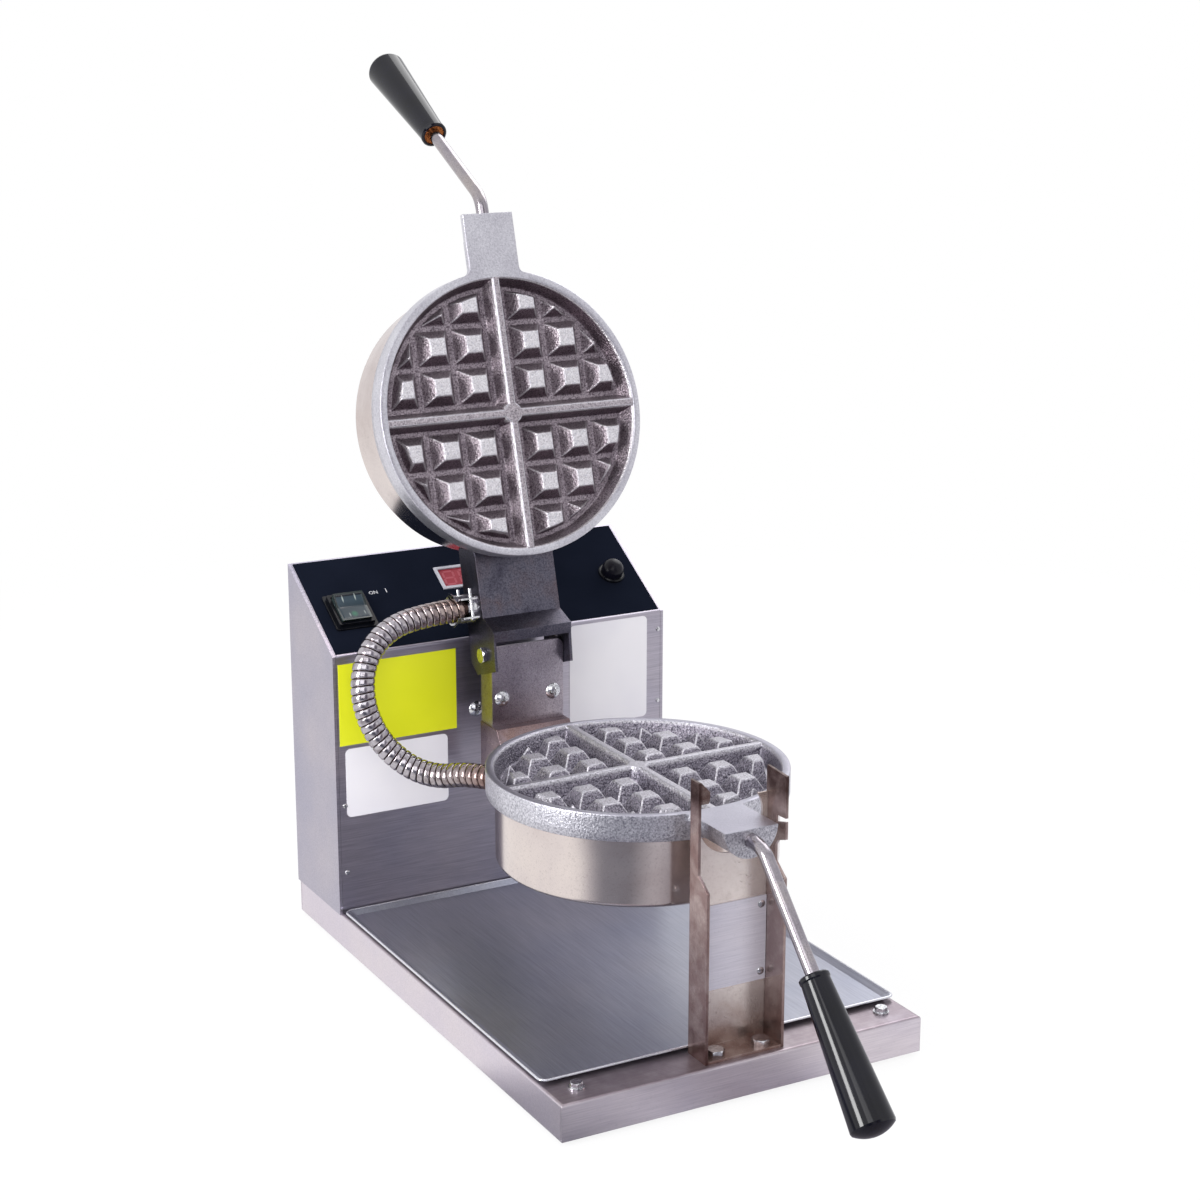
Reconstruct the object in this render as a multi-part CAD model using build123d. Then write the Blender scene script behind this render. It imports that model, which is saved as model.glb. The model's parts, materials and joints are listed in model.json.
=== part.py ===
from build123d import *
import math
import os

# Commercial waffle maker: a stainless base pan with a control box at the back, and a pair of
# round cast irons on a hollow turn shaft. The upper iron stands open, as it is kept between bakes.
# Millimetres. X is to the right, Y runs from the front of the base to the back, Z is up.
# Until the last step Y is measured from the front edge of the base pan.

# Base pan and bottom plate
base_width = 279.4
pan_height = 26.0
sheet = 1.2
bend_radius = 2.0
seam_gap = 0.5
return_flange = 9.0
foot_show = 3.0
foot_radius = 8.0
foot_side_inset = 20.3
foot_front_y = 18.5
foot_back_inset = 25.0
part_gap = 0.3
seat_gap = 0.05
cut_through = 20.0

# Screws
foot_screw_radius = 2.4
hex_washer_radius = 5.6
hex_washer_thick = 1.0
hex_head_flats = 8.0
hex_head_height = 3.2
hex_top_share = 0.98
deck_screw_turn = 12.0
screw_embed = 2.0
pan_head_radius = 6.3
pan_head_height = 3.4
small_screw_radius = 2.0
small_head_radius = 3.8
small_head_height = 1.8
cross_slot = 1.1
rivet_radius = 1.6
rivet_head_radius = 2.8
rivet_head_height = 1.2

# Drip tray
tray_side_inset = 0.5
tray_front_y = 29.5
tray_back_gap = 2.0
tray_rise = 4.0
tray_rim_run = 6.0
tray_sheet = 1.0
tray_corner = 6.0

# Turn axis and irons
axis_height = 190.2
iron_y = 150.3
iron_radius = 106.3
casting_height = 19.0
casting_edge = 1.5
mating_gap = 0.3
recess_depth = 14.0
recess_top_radius = 101.3
recess_floor_radius = 96.2
grid_edge_radius = 92.2
grid_edge_run = 2.8
grid_root = 1.0
pyramid_base = 25.75
pyramid_top = 12.0
pyramid_pitch = 29.75
pyramid_first = 23.5
pyramid_drop = 1.8
divider_top = 4.6
divider_base = 13.2
divider_drop = 0.25
boss_radius = 7.0
boss_base_radius = 11.0
shell_radius = 100.0
shell_wall = 1.0
shell_depth = 68.0
shell_edge = 4.0
post_radius = 5.0
post_circle = 82.0
post_angles = (90, 210, 330)
shell_screw_length = 12.0
heater_circle = 58.0
heater_radius = 4.0
insulation_radius = 92.0

# Tongue, rod and grip of each iron
tongue_radius = 20.25
tongue_front_y = 1.3
tongue_fillet = 5.0
tongue_fillet_depth = 5.0
tongue_overlap = 4.0
tongue_root_front = 20.0
tongue_root_ring = 3.0
rod_radius = 4.8
rod_drop = 8.0
rod_socket = 16.0
rod_corner_y = -12.0
rod_bend_radius = 22.0
handle_angle = 46.8
rod_to_grip = 89.5
rod_in_grip = 62.0
grip_length = 101.0
grip_dome = 5.0
grip_small_radius = 10.3
grip_big_radius = 15.0
grip_edge = 1.0
grip_collar = 3.0
grip_collar_step = 0.5
grip_end_run = 1.5
grip_end_step = 0.6
grip_recess_radius = 8.0
grip_recess_depth = 2.5
ferrule_thick = 1.6

# Front bracket
bracket_sheet = 2.0
bracket_bend = 1.6
bracket_half_width = 30.5
web_front_y = 26.5
flange_front_y = 5.0
neck_front_y = 17.0
step_drop = 41.2
step_slope = 9.0
notch_radius = 24.5
horn_gap = 21.2
horn_rise = 13.0
ear_rise = 31.0
ear_slope = 1.5
catch_slot = 4.0
catch_slot_low = 0.6
catch_slot_high = 0.2
catch_slot_tip = 2.2
catch_root = 1.0
catch_tab = 13.0
catch_tip = 3.0
catch_under = 4.0
tab_reach = 8.5
tab_low_rise = 16.0
tab_corner = 3.0
tab_tip_rise = 24.0
bracket_bolt_x = 17.5
bracket_bolt_y = 13.5
bracket_bolt_radius = 3.2
bracket_bolt_flats = 11.2
bracket_bolt_height = 4.0
nut_height = 5.0
info_plate_drop = 59.2
info_plate_height = 60.0
info_plate_thick = 0.7
info_rivet_x = 24.5
info_rivet_inset = 6.0

# Control box
box_depth = 85.5
box_front_height = 233.5
box_overhang = 1.8
box_back_height = 286.5
side_flange = 10.0
hem_drop = 8.0
cover_gap = 0.2
film_thick = 0.4
film_side_margin = 0.8
film_low_margin = 2.2
film_top_margin = 1.5
hem_depth = 7.0
back_screw_low = 25.0
back_screw_high = 30.0
back_screw_length = 8.0
vent_count = 7
vent_pitch = 9.0
vent_length = 70.0
vent_width = 3.0
vent_height = 150.0
vent_inset = 76.5

# Controls, placed on the sloping panel: x, then distance up the slope
rocker_inset = 29.8
rocker_up = 42.4
rocker_width = 24.0
rocker_length = 26.0
rocker_throw = 14.0
rocker_end_rise = 8.6
rocker_middle_rise = 6.8
rocker_frame_width = 34.0
rocker_frame_length = 36.0
rocker_frame_rise = 4.6
rocker_wall = 2.4
rocker_flange_thick = 1.5
rocker_pivot_depth = 1.0
rocker_pin_radius = 1.2
rocker_body_depth = 24.0
rocker_cavity = 14.6
rocker_corner = 1.5
rocker_flange_corner = 2.0
rocker_undercut = 0.7
rocker_end_face = 2.4
rocker_foot_inset = 2.0
rocker_keel = 5.5
rocker_pin_hold = 1.0
rocker_pin_play = 0.4
button_inset = 26.0
button_up = 45.7
button_radius = 8.7
button_straight = 6.4
button_dome = 7.4
button_travel = 4.0
button_ring_radius = 10.6
button_ring_rise = 2.6
button_stem_radius = 3.0
button_body_depth = 20.0
button_wall = 1.4
button_ring_edge = 0.8
button_skirt = 1.0
button_stem_short = 6.0
button_seat_drop = 3.5
button_floor = 1.0
spring_play = 0.6
spring_wire = 1.0
display_up = 64.2
display_width = 56.4
display_height = 21.3
display_lip = 1.2
display_depth = 12.0
board_width = 120.0
board_length = 60.0
board_up = 52.0
board_thick = 1.6
board_post_radius = 3.0
board_post_inset = 5.0
terminal_box = (-60.0, -5.0, 20.0, 20.0)
terminal_back_inset = 13.0
terminal_pitch = 11.0
terminal_count = 5
terminal_wall = 3.0

# Stickers, left blank
sticker_thick = 0.25
yellow_sticker = (3.9, 96.6, 6.5, 63.5)
left_sticker = (8.1, 84.4, 73.0, 54.0)
right_sticker = (14.9, 69.4, 2.3, 83.2)
sticker_corner = 4.0

# Hinge: lengths along Y are from the pivot, heights are above the turn axis
pivot_reach = 176.3
pivot_to_box = 32.9
pivot_rise = 38.4
pivot_radius = 4.0
running_gap = 0.08
open_angle = 106.0
hinge_sheet = 2.0
cheek_outer = 31.0
lid_cheek_outer = 32.5
lid_cheek_corners = ((13.2, -16.0), (14.6, 16.8), (3.75, 25.6), (-11.5, 23.1))
saddle_gap = 0.1
saddle_low = 24.0
hinge_overlap = 8.0
web_rise = 32.0
hinge_web_front = 27.6
step_front = 16.0
step_rise = 16.5
lip_front = 8.2
lip_rise = 19.0
cheek_top_rise = 59.5
cheek_behind = 11.4
upright_half_width = 30.1
upright_front = 7.6
upright_top = 45.8
upright_corner = 6.0
wing_corner_drop = 4.0
wing_corner_run = 5.0
hinge_screw_x = 21.6
hinge_screw_rise = 4.8
hinge_screw_radius = 2.4

# Turn shaft and its bearing behind the box front
shaft_radius = 12.5
shaft_bore = 8.0
shaft_flange_half = 26.5
shaft_flange_thick = 4.0
shaft_reach = 46.5
bush_wall = 3.0
housing_flange_radius = 30.0
housing_flange_thick = 4.0
housing_radius = 20.0
housing_length = 28.0
housing_screw_circle = 27.8
housing_screw_angles = (90, 210, 330)
collar_radius = 20.0
collar_length = 7.0
stop_lug = 8.0
stop_post_radius = 3.0
stop_post_play = 1.5
pivot_head_height = 3.4

# Mains inlet in the back panel
inlet_inset = 46.5
inlet_height = 62.0
inlet_radius = 11.0
inlet_bore = 4.6
inlet_flange_radius = 14.0
inlet_flange_thick = 3.0
inlet_depth = 15.0

# Conduit between the irons; its loop is given from the middle of the pivot
conduit_radius = 9.1
conduit_groove = 0.9
conduit_hole = 6.6
conduit_bore = 5.0
neck_play = 0.1
neck_inside = 3.0
conduit_ribs = 48
conduit_plain_end = 3.0
conduit_corner_share = 0.45
rib_rise_end = 0.2
rib_top_end = 0.65
rib_fall_end = 0.8
fitting_length = 15.2
fitting_radius = 10.0
fitting_nut_start = 0.5
fitting_nut_inset = 0.2
fitting_nut_height = 5.0
lower_fitting_angle = 121.0
lower_fitting_drop = 32.0
upper_fitting_front = 36.4
upper_fitting_rise = 44.0
upper_fitting_length = 9.0
conduit_loop = (
    (-87.3, -34.1, -77.2),
    (-104.8, -17.6, -71.3),
    (-122.1, -5.3, -51.9),
    (-131.5, 2.4, -23.5),
    (-126.3, 9.8, 6.3),
    (-104.7, 14.3, 27.5),
)
locknut_radius = 8.6
locknut_thick = 2.4
saddle_start = 2.8
saddle_end = 15.8
saddle_sheet = 1.4
saddle_ear_rise = 6.4
saddle_ear_reach = 12.4
saddle_lip = 4.0
clamp_screw_x = 10.6
clamp_screw_z = 7.4
clamp_screw_radius = 1.3
clamp_screw_top = 15.0
clamp_head_radius = 2.7

# Values worked out from the ones above
half_width = base_width / 2
foot_x = half_width - foot_side_inset
tray_half_width = half_width - tray_side_inset
deck_top = foot_show + pan_height
pivot_y = iron_y + pivot_reach
box_front_y = pivot_y + pivot_to_box
base_depth = box_front_y + box_depth
web_back_y = pivot_y - hinge_web_front
step_y = pivot_y - step_front
lip_y = pivot_y - lip_front
cheek_back_y = pivot_y + cheek_behind
upright_front_y = pivot_y - upright_front
upper_fitting_y = pivot_y - upper_fitting_front
foot_back_y = base_depth - foot_back_inset
box_half = half_width + box_overhang
cover_half = box_half - 2 * sheet - cover_gap
rocker_x = -box_half + rocker_inset
button_x = box_half - button_inset
inlet_x = -box_half + inlet_inset
shaft_end_y = box_front_y + shaft_reach
pivot_z = axis_height + pivot_rise
slope_angle = math.degrees(math.atan2(box_back_height - box_front_height, base_depth - box_front_y))
slope_length = math.hypot(box_back_height - box_front_height, base_depth - box_front_y)
handle_dir = Vector(0, -math.cos(math.radians(handle_angle)), -math.sin(math.radians(handle_angle)))
slope_cos = math.cos(math.radians(slope_angle))
slope_tan = math.tan(math.radians(slope_angle))
panel = Plane(
    origin=(0, box_front_y, box_front_height),
    x_dir=(1, 0, 0),
    z_dir=(0, -math.sin(math.radians(slope_angle)), slope_cos),
)
small_hole_radius = small_screw_radius + seat_gap
shell_bottom = axis_height - shell_depth
info_plate_low = axis_height - info_plate_drop - info_plate_height
casting_top = axis_height - mating_gap / 2
casting_bottom = axis_height - casting_height

parts = {}


# Small shape helpers


def block(x0, x1, y0, y1, z0, z1):
    """A box between two corners."""
    return Pos((x0 + x1) / 2, (y0 + y1) / 2, (z0 + z1) / 2) * Box(x1 - x0, y1 - y0, z1 - z0)


def post(x, y, z0, z1, radius):
    """An upright cylinder."""
    return Pos(x, y, (z0 + z1) / 2) * Cylinder(radius, z1 - z0)


def along_y(x, z, y0, y1, radius):
    """A cylinder along Y."""
    return Pos(x, (y0 + y1) / 2, z) * Rot(90, 0, 0) * Cylinder(radius, y1 - y0)


def along_x(y, z, x0, x1, radius):
    """A cylinder along X."""
    return Pos((x0 + x1) / 2, y, z) * Rot(0, 90, 0) * Cylinder(radius, x1 - x0)


def side_profile(points, x0, x1):
    """A flat piece whose outline is given in Y and Z, from x0 to x1."""
    outline = make_face(Polyline(*[(x0, y, z) for y, z in points], close=True))
    return extrude(outline, amount=x1 - x0, dir=(1, 0, 0))


def front_profile(points, y0, y1):
    """A flat piece whose outline is given in X and Z, from y0 to y1."""
    outline = make_face(Polyline(*[(x, y0, z) for x, z in points], close=True))
    return extrude(outline, amount=y1 - y0, dir=(0, 1, 0))


def hex_prism(flats, height):
    """A hexagon standing on Z = 0 with its corners broken at the top."""
    prism = extrude(RegularPolygon(flats / 2, 6, major_radius=False), amount=height)
    return prism & Cone(flats / 2 + height, flats / 2 * hex_top_share, height, align=ALIGN_UP)


def cross_head(radius, height):
    """A domed head standing on Z = 0 with a cross recess."""
    sphere_radius = (radius ** 2 + height ** 2) / (2 * height)
    dome = Pos(0, 0, height - sphere_radius) * Sphere(sphere_radius)
    head = dome & Pos(0, 0, height / 2) * Cylinder(radius, height)
    slot = Box(radius, cross_slot, height) + Box(cross_slot, radius, height)
    return head - Pos(0, 0, height) * slot


def dome_head(radius, height):
    """A plain rivet head standing on Z = 0."""
    sphere_radius = (radius ** 2 + height ** 2) / (2 * height)
    dome = Pos(0, 0, height - sphere_radius) * Sphere(sphere_radius)
    return dome & Pos(0, 0, height / 2) * Cylinder(radius, height)


def mirrored(shape):
    """The same piece above the turn axis, as on the closed upper iron."""
    return mirror(shape, about=Plane.XY.offset(axis_height))


def opened(shape):
    """Swing a piece of the closed upper iron to where it stands open."""
    return Pos(0, pivot_y, pivot_z) * Rot(-open_angle, 0, 0) * Pos(0, -pivot_y, -pivot_z) * shape


def group(shapes):
    """Separate solids kept in one node."""
    solids = []
    for shape in shapes:
        solids += shape.solids()
    return Compound(solids)


ALIGN_UP = (Align.CENTER, Align.CENTER, Align.MIN)


# Base


def foot_places():
    return [(x, y) for x in (-foot_x, foot_x) for y in (foot_front_y, foot_back_y)]


def make_base():
    shell = block(-half_width, half_width, 0, base_depth, foot_show, deck_top)
    shell = fillet(shell.faces().sort_by(Axis.Z)[-1].edges(), bend_radius)
    inner = block(
        -half_width + sheet, half_width - sheet, sheet, base_depth - sheet, foot_show - 1, deck_top - sheet
    )
    pan = shell - inner
    rim = block(-half_width, half_width, 0, base_depth, foot_show, foot_show + sheet)
    hole_x = half_width - sheet - return_flange
    hole_y = sheet + return_flange
    rim -= block(-hole_x, hole_x, hole_y, base_depth - hole_y, foot_show - 1, foot_show + sheet + 1)
    pan += rim
    for side in (-1, 1):
        for y in (sheet, base_depth - sheet - seam_gap):
            x0, x1 = sorted((side * (half_width + 1), side * (half_width - sheet)))
            pan -= block(x0, x1, y, y + seam_gap, foot_show + sheet, deck_top - bend_radius)
    for x, y in foot_places():
        pan -= post(x, y, deck_top - 2 * sheet, deck_top + 1, foot_screw_radius + seat_gap)
    for x in (-bracket_bolt_x, bracket_bolt_x):
        pan -= post(x, bracket_bolt_y, deck_top - 2 * sheet, deck_top + 1, bracket_bolt_radius + seat_gap)
    parts["base_pan"] = pan

    plate = block(
        -half_width + sheet + part_gap,
        half_width - sheet - part_gap,
        sheet + part_gap,
        base_depth - sheet - part_gap,
        foot_show + sheet,
        foot_show + 2 * sheet,
    )
    for x, y in foot_places():
        plate -= post(x, y, 0, deck_top, foot_screw_radius + seat_gap)
    parts["bottom_plate"] = plate

    feet = []
    screws = []
    for x, y in foot_places():
        foot = post(x, y, 0, foot_show + sheet, foot_radius)
        foot = chamfer(foot.edges().sort_by(Axis.Z)[0], 1.0)
        foot -= post(x, y, foot_show + sheet - screw_embed, deck_top, foot_screw_radius + seat_gap)
        feet.append(foot)
        screw = post(x, y, foot_show + sheet - screw_embed, deck_top, foot_screw_radius)
        screw += post(x, y, deck_top, deck_top + hex_washer_thick, hex_washer_radius)
        head = Rot(0, 0, deck_screw_turn) * hex_prism(hex_head_flats, hex_head_height)
        screw += Pos(x, y, deck_top + hex_washer_thick) * head
        screws.append(screw)
    parts["rubber_feet"] = group(feet)
    parts["deck_screws"] = group(screws)


def tray_shape(grow, base_z):
    """The dished outline of the drip tray, larger by grow, from its floor to its rim."""
    back_y = box_front_y - tray_back_gap
    middle = (tray_front_y + back_y) / 2
    rim_width = 2 * tray_half_width
    rim_length = back_y - tray_front_y
    floor = Plane.XY.offset(base_z) * Pos(0, middle) * RectangleRounded(
        rim_width - 2 * tray_rim_run + grow, rim_length - 2 * tray_rim_run + grow, tray_corner / 2
    )
    rim = Plane.XY.offset(base_z + tray_rise) * Pos(0, middle) * RectangleRounded(
        rim_width + grow, rim_length + grow, tray_corner
    )
    return loft([floor, rim])


def make_tray():
    dish = tray_shape(0, deck_top) - tray_shape(0, deck_top + tray_sheet)
    parts["drip_tray"] = dish


# Front bracket


def make_front_bracket():
    web_back = web_front_y + bracket_sheet
    low = deck_top
    step_height = axis_height - step_drop
    left_points = [
        (flange_front_y, low),
        (web_back, low),
        (web_back, axis_height + ear_rise),
        (neck_front_y, axis_height + ear_rise),
        (neck_front_y, step_height + step_slope),
        (flange_front_y, step_height),
    ]
    left = side_profile(left_points, -bracket_half_width, -bracket_half_width + bracket_sheet)
    slot_low = axis_height - catch_slot
    right_points = [
        (flange_front_y, low),
        (web_back, low),
        (web_back, axis_height + ear_rise),
        (flange_front_y, axis_height + ear_rise - ear_slope),
        (flange_front_y, axis_height + catch_slot_low),
        (neck_front_y, axis_height + catch_slot_high),
        (neck_front_y, slot_low - catch_root),
        (flange_front_y, slot_low + catch_slot_tip),
        (flange_front_y, slot_low - catch_tab + catch_tip),
        (neck_front_y - catch_tip, slot_low - catch_tab),
        (neck_front_y, slot_low - catch_tab - catch_under),
        (neck_front_y, step_height + step_slope),
        (flange_front_y, step_height),
    ]
    right = side_profile(right_points, bracket_half_width - bracket_sheet, bracket_half_width)
    web = block(
        -bracket_half_width + bracket_sheet,
        bracket_half_width - bracket_sheet,
        web_front_y,
        web_back,
        low,
        axis_height + horn_rise,
    )
    web -= along_y(0, axis_height, web_front_y - 1, web_back + 1, notch_radius)
    web -= block(
        -notch_radius, horn_gap, web_front_y - 1, web_back + 1, axis_height, axis_height + horn_rise + 1
    )
    foot = block(
        -bracket_half_width + bracket_sheet,
        bracket_half_width - bracket_sheet,
        flange_front_y,
        web_front_y,
        low,
        low + bracket_sheet,
    )
    tab_root = -bracket_half_width + bracket_sheet
    tab_points = [
        (tab_root, axis_height + tab_low_rise),
        (tab_root + tab_reach - tab_corner, axis_height + tab_low_rise),
        (tab_root + tab_reach - bracket_sheet, axis_height + tab_low_rise + tab_corner),
        (tab_root + tab_reach - bracket_sheet, axis_height + tab_tip_rise),
        (tab_root, axis_height + ear_rise),
    ]
    tab = front_profile(tab_points, neck_front_y, neck_front_y + bracket_sheet)
    bracket = left + right + web + foot + tab
    outer_bends = [
        e
        for e in bracket.edges().filter_by(Axis.Z)
        if abs(e.center().Y - web_back) < 0.01 and abs(abs(e.center().X) - bracket_half_width) < 0.01
    ]
    bracket = fillet(outer_bends, bracket_bend)
    for x in (-bracket_bolt_x, bracket_bolt_x):
        bracket -= post(x, bracket_bolt_y, low - 1, low + bracket_sheet + 1, bracket_bolt_radius + seat_gap)
    for x, z in info_rivet_places():
        bracket -= along_y(x, z, web_front_y - 1, web_back + 1, rivet_radius + seat_gap)
    parts["front_bracket"] = bracket

    bolts = []
    nuts = []
    under = deck_top - sheet
    for x in (-bracket_bolt_x, bracket_bolt_x):
        seat = low + bracket_sheet
        bolt = post(x, bracket_bolt_y, under - nut_height - 1, seat, bracket_bolt_radius)
        head = Rot(0, 0, x) * hex_prism(bracket_bolt_flats, bracket_bolt_height)
        bolts.append(bolt + Pos(x, bracket_bolt_y, seat) * head)
        nut = Pos(x, bracket_bolt_y, under - nut_height) * hex_prism(bracket_bolt_flats, nut_height)
        nut -= post(x, bracket_bolt_y, under - nut_height - 1, under + 1, bracket_bolt_radius + seat_gap)
        nuts.append(nut)
    parts["bracket_bolts"] = group(bolts + nuts)
    make_info_plate()


def info_rivet_places():
    heights = (info_plate_low + info_rivet_inset, info_plate_low + info_plate_height - info_rivet_inset)
    return [(x, z) for x in (-info_rivet_x, info_rivet_x) for z in heights]


def make_info_plate():
    half = bracket_half_width - bracket_sheet - part_gap
    back = web_front_y
    top = info_plate_low + info_plate_height
    plate = block(-half, half, back - info_plate_thick, back, info_plate_low, top)
    rivets = []
    for x, z in info_rivet_places():
        plate -= along_y(x, z, back - 2, back + 1, rivet_radius + seat_gap)
        rivet = along_y(x, z, back - info_plate_thick, back + bracket_sheet, rivet_radius)
        head = dome_head(rivet_head_radius, rivet_head_height)
        rivet += Pos(x, back - info_plate_thick, z) * Rot(90, 0, 0) * head
        rivet += Pos(x, back + bracket_sheet, z) * Rot(-90, 0, 0) * head
        rivets.append(rivet)
    parts["info_plate"] = plate
    parts["plate_rivets"] = group(rivets)


# Control box


def cover_height(y, depth=0.0):
    """Height of the sloping top at y, sunk square to itself by depth."""
    return box_front_height + (y - box_front_y) * slope_tan - depth / slope_cos


def on_panel(shape, x=0.0, up=0.0, out=0.0):
    """Place a shape on the sloping panel, its Z pointing out of the panel."""
    return panel * Pos(x, up, out) * shape


def make_front_cover():
    inner_front = box_front_y + sheet
    outside = [
        (box_front_y, deck_top),
        (box_front_y, box_front_height),
        (base_depth, box_back_height),
        (base_depth, box_back_height - hem_drop),
        (base_depth - sheet, box_back_height - hem_drop),
        (base_depth - sheet, cover_height(base_depth - sheet, sheet)),
        (inner_front, cover_height(inner_front, sheet)),
        (inner_front, deck_top),
    ]
    cover = side_profile(outside, -cover_half, cover_half)
    bend = [
        e
        for e in cover.edges().filter_by(Axis.X)
        if abs(e.center().Y - box_front_y) < 0.01 and abs(e.center().Z - box_front_height) < 0.01
    ]
    cover = fillet(bend, bend_radius)
    cover -= along_y(0, axis_height, box_front_y - 1, inner_front + 1, shaft_radius + bush_wall)
    for x, z in housing_screw_places():
        cover -= along_y(x, z, box_front_y - 1, inner_front + 1, small_screw_radius + seat_gap)
    cover -= on_panel(Box(rocker_body_width(), rocker_body_length(), cut_through), rocker_x, rocker_up)
    cover -= on_panel(Cylinder(button_radius + button_wall, cut_through), button_x, button_up)
    cover -= on_panel(Box(display_width, display_height, cut_through), 0, display_up)
    parts["front_cover"] = cover


def rocker_body_width():
    return rocker_width + 2 * (part_gap + rocker_wall / 2)


def rocker_body_length():
    return rocker_length + 2 * (part_gap + rocker_wall / 2)


def side_outline(inset):
    """Outline of a side panel in Y and Z, drawn in by inset on every edge but the deck."""
    top_front = cover_height(box_front_y + inset, inset)
    top_back = cover_height(base_depth - inset, inset)
    return [
        (box_front_y + inset, deck_top),
        (base_depth - inset, deck_top),
        (base_depth - inset, top_back),
        (box_front_y + inset, top_front),
    ]


def between(outline, xa, xb):
    """A flat piece between two X positions given in either order."""
    return side_profile(outline, min(xa, xb), max(xa, xb))


def make_side_panels():
    """Each side has a hem round its edge and an inner flange that the cover and back lie on."""
    flange_depth = sheet + part_gap
    for name, side in (("left_side_panel", -1), ("right_side_panel", 1)):
        x_out = side * box_half
        x_hem = side * (box_half - sheet)
        x_in = side * (box_half - 2 * sheet)
        x_flange = side * (box_half - 2 * sheet - side_flange)
        wall = between(side_outline(0.0), x_out, x_hem)
        hem = between(side_outline(0.0), x_hem, x_in) - between(side_outline(hem_depth), x_out, x_flange)
        frame = between(side_outline(flange_depth), x_hem, x_flange)
        hollow_points = side_outline(flange_depth + sheet)
        hollow_points = [(y, z + sheet if z == deck_top else z) for y, z in hollow_points]
        frame -= between(hollow_points, x_out, x_flange - side)
        panel_piece = wall + hem + frame
        for z in back_screw_heights():
            x = side * back_screw_x()
            panel_piece -= along_y(x, z, base_depth - 4 * sheet, base_depth + 1, small_hole_radius)
        parts[name] = panel_piece


def back_screw_x():
    return box_half - 2 * sheet - side_flange / 2


def back_screw_heights():
    return [deck_top + back_screw_low, box_back_height - hem_drop - back_screw_high]


def make_back_panel():
    top = box_back_height - hem_drop - part_gap
    plate = block(-cover_half, cover_half, base_depth - sheet, base_depth, deck_top, top)
    first = vent_height - vent_pitch * (vent_count - 1) / 2
    for side in (-1, 1):
        for row in range(vent_count):
            slot = Box(vent_length, 3 * sheet, vent_width)
            slot = fillet(slot.edges().filter_by(Axis.Y), vent_width / 2 - seat_gap)
            place = Pos(side * (box_half - vent_inset), base_depth - sheet / 2, first + row * vent_pitch)
            plate -= place * slot
    plate -= along_y(inlet_x, inlet_height, base_depth - 3, base_depth + 1, inlet_radius + seat_gap)
    screws = []
    for side in (-1, 1):
        for z in back_screw_heights():
            x = side * back_screw_x()
            plate -= along_y(x, z, base_depth - 4 * sheet, base_depth + 1, small_hole_radius)
            screw = along_y(x, z, base_depth - back_screw_length, base_depth, small_screw_radius)
            screw += Pos(x, base_depth, z) * Rot(-90, 0, 0) * cross_head(small_head_radius, small_head_height)
            screws.append(screw)
    parts["back_panel"] = plate
    parts["back_screws"] = group(screws)

    bush = along_y(inlet_x, inlet_height, base_depth - inlet_depth, base_depth, inlet_radius)
    bush += along_y(inlet_x, inlet_height, base_depth, base_depth + inlet_flange_thick, inlet_flange_radius)
    bush -= along_y(inlet_x, inlet_height, base_depth - cut_through, base_depth + cut_through, inlet_bore)
    parts["inlet_bush"] = bush


def make_stickers():
    """Each is given by its distance from the side of the box, width, drop from the fold and height."""
    front = box_front_y
    for name, side, (inset, width, drop, height) in (
        ("yellow_sticker", -1, yellow_sticker),
        ("left_sticker", -1, left_sticker),
        ("right_sticker", 1, right_sticker),
    ):
        x0, x1 = sorted((side * (box_half - inset), side * (box_half - inset - width)))
        top = box_front_height - drop
        sheet_piece = block(x0, x1, front - sticker_thick, front, top - height, top)
        if name != "yellow_sticker":
            sheet_piece = fillet(sheet_piece.edges().filter_by(Axis.Y), sticker_corner)
        parts[name] = sheet_piece


# Controls


def make_film():
    width = 2 * (cover_half - film_side_margin)
    length = slope_length - film_low_margin - film_top_margin
    film = Pos(0, film_low_margin + length / 2, film_thick / 2) * Box(width, length, film_thick)
    film -= Pos(rocker_x, rocker_up) * Box(rocker_body_width(), rocker_body_length(), cut_through)
    film -= Pos(button_x, button_up) * Cylinder(button_radius + button_wall, cut_through)
    film -= Pos(0, display_up) * Box(display_width, display_height, cut_through)
    parts["panel_film"] = panel * film


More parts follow.
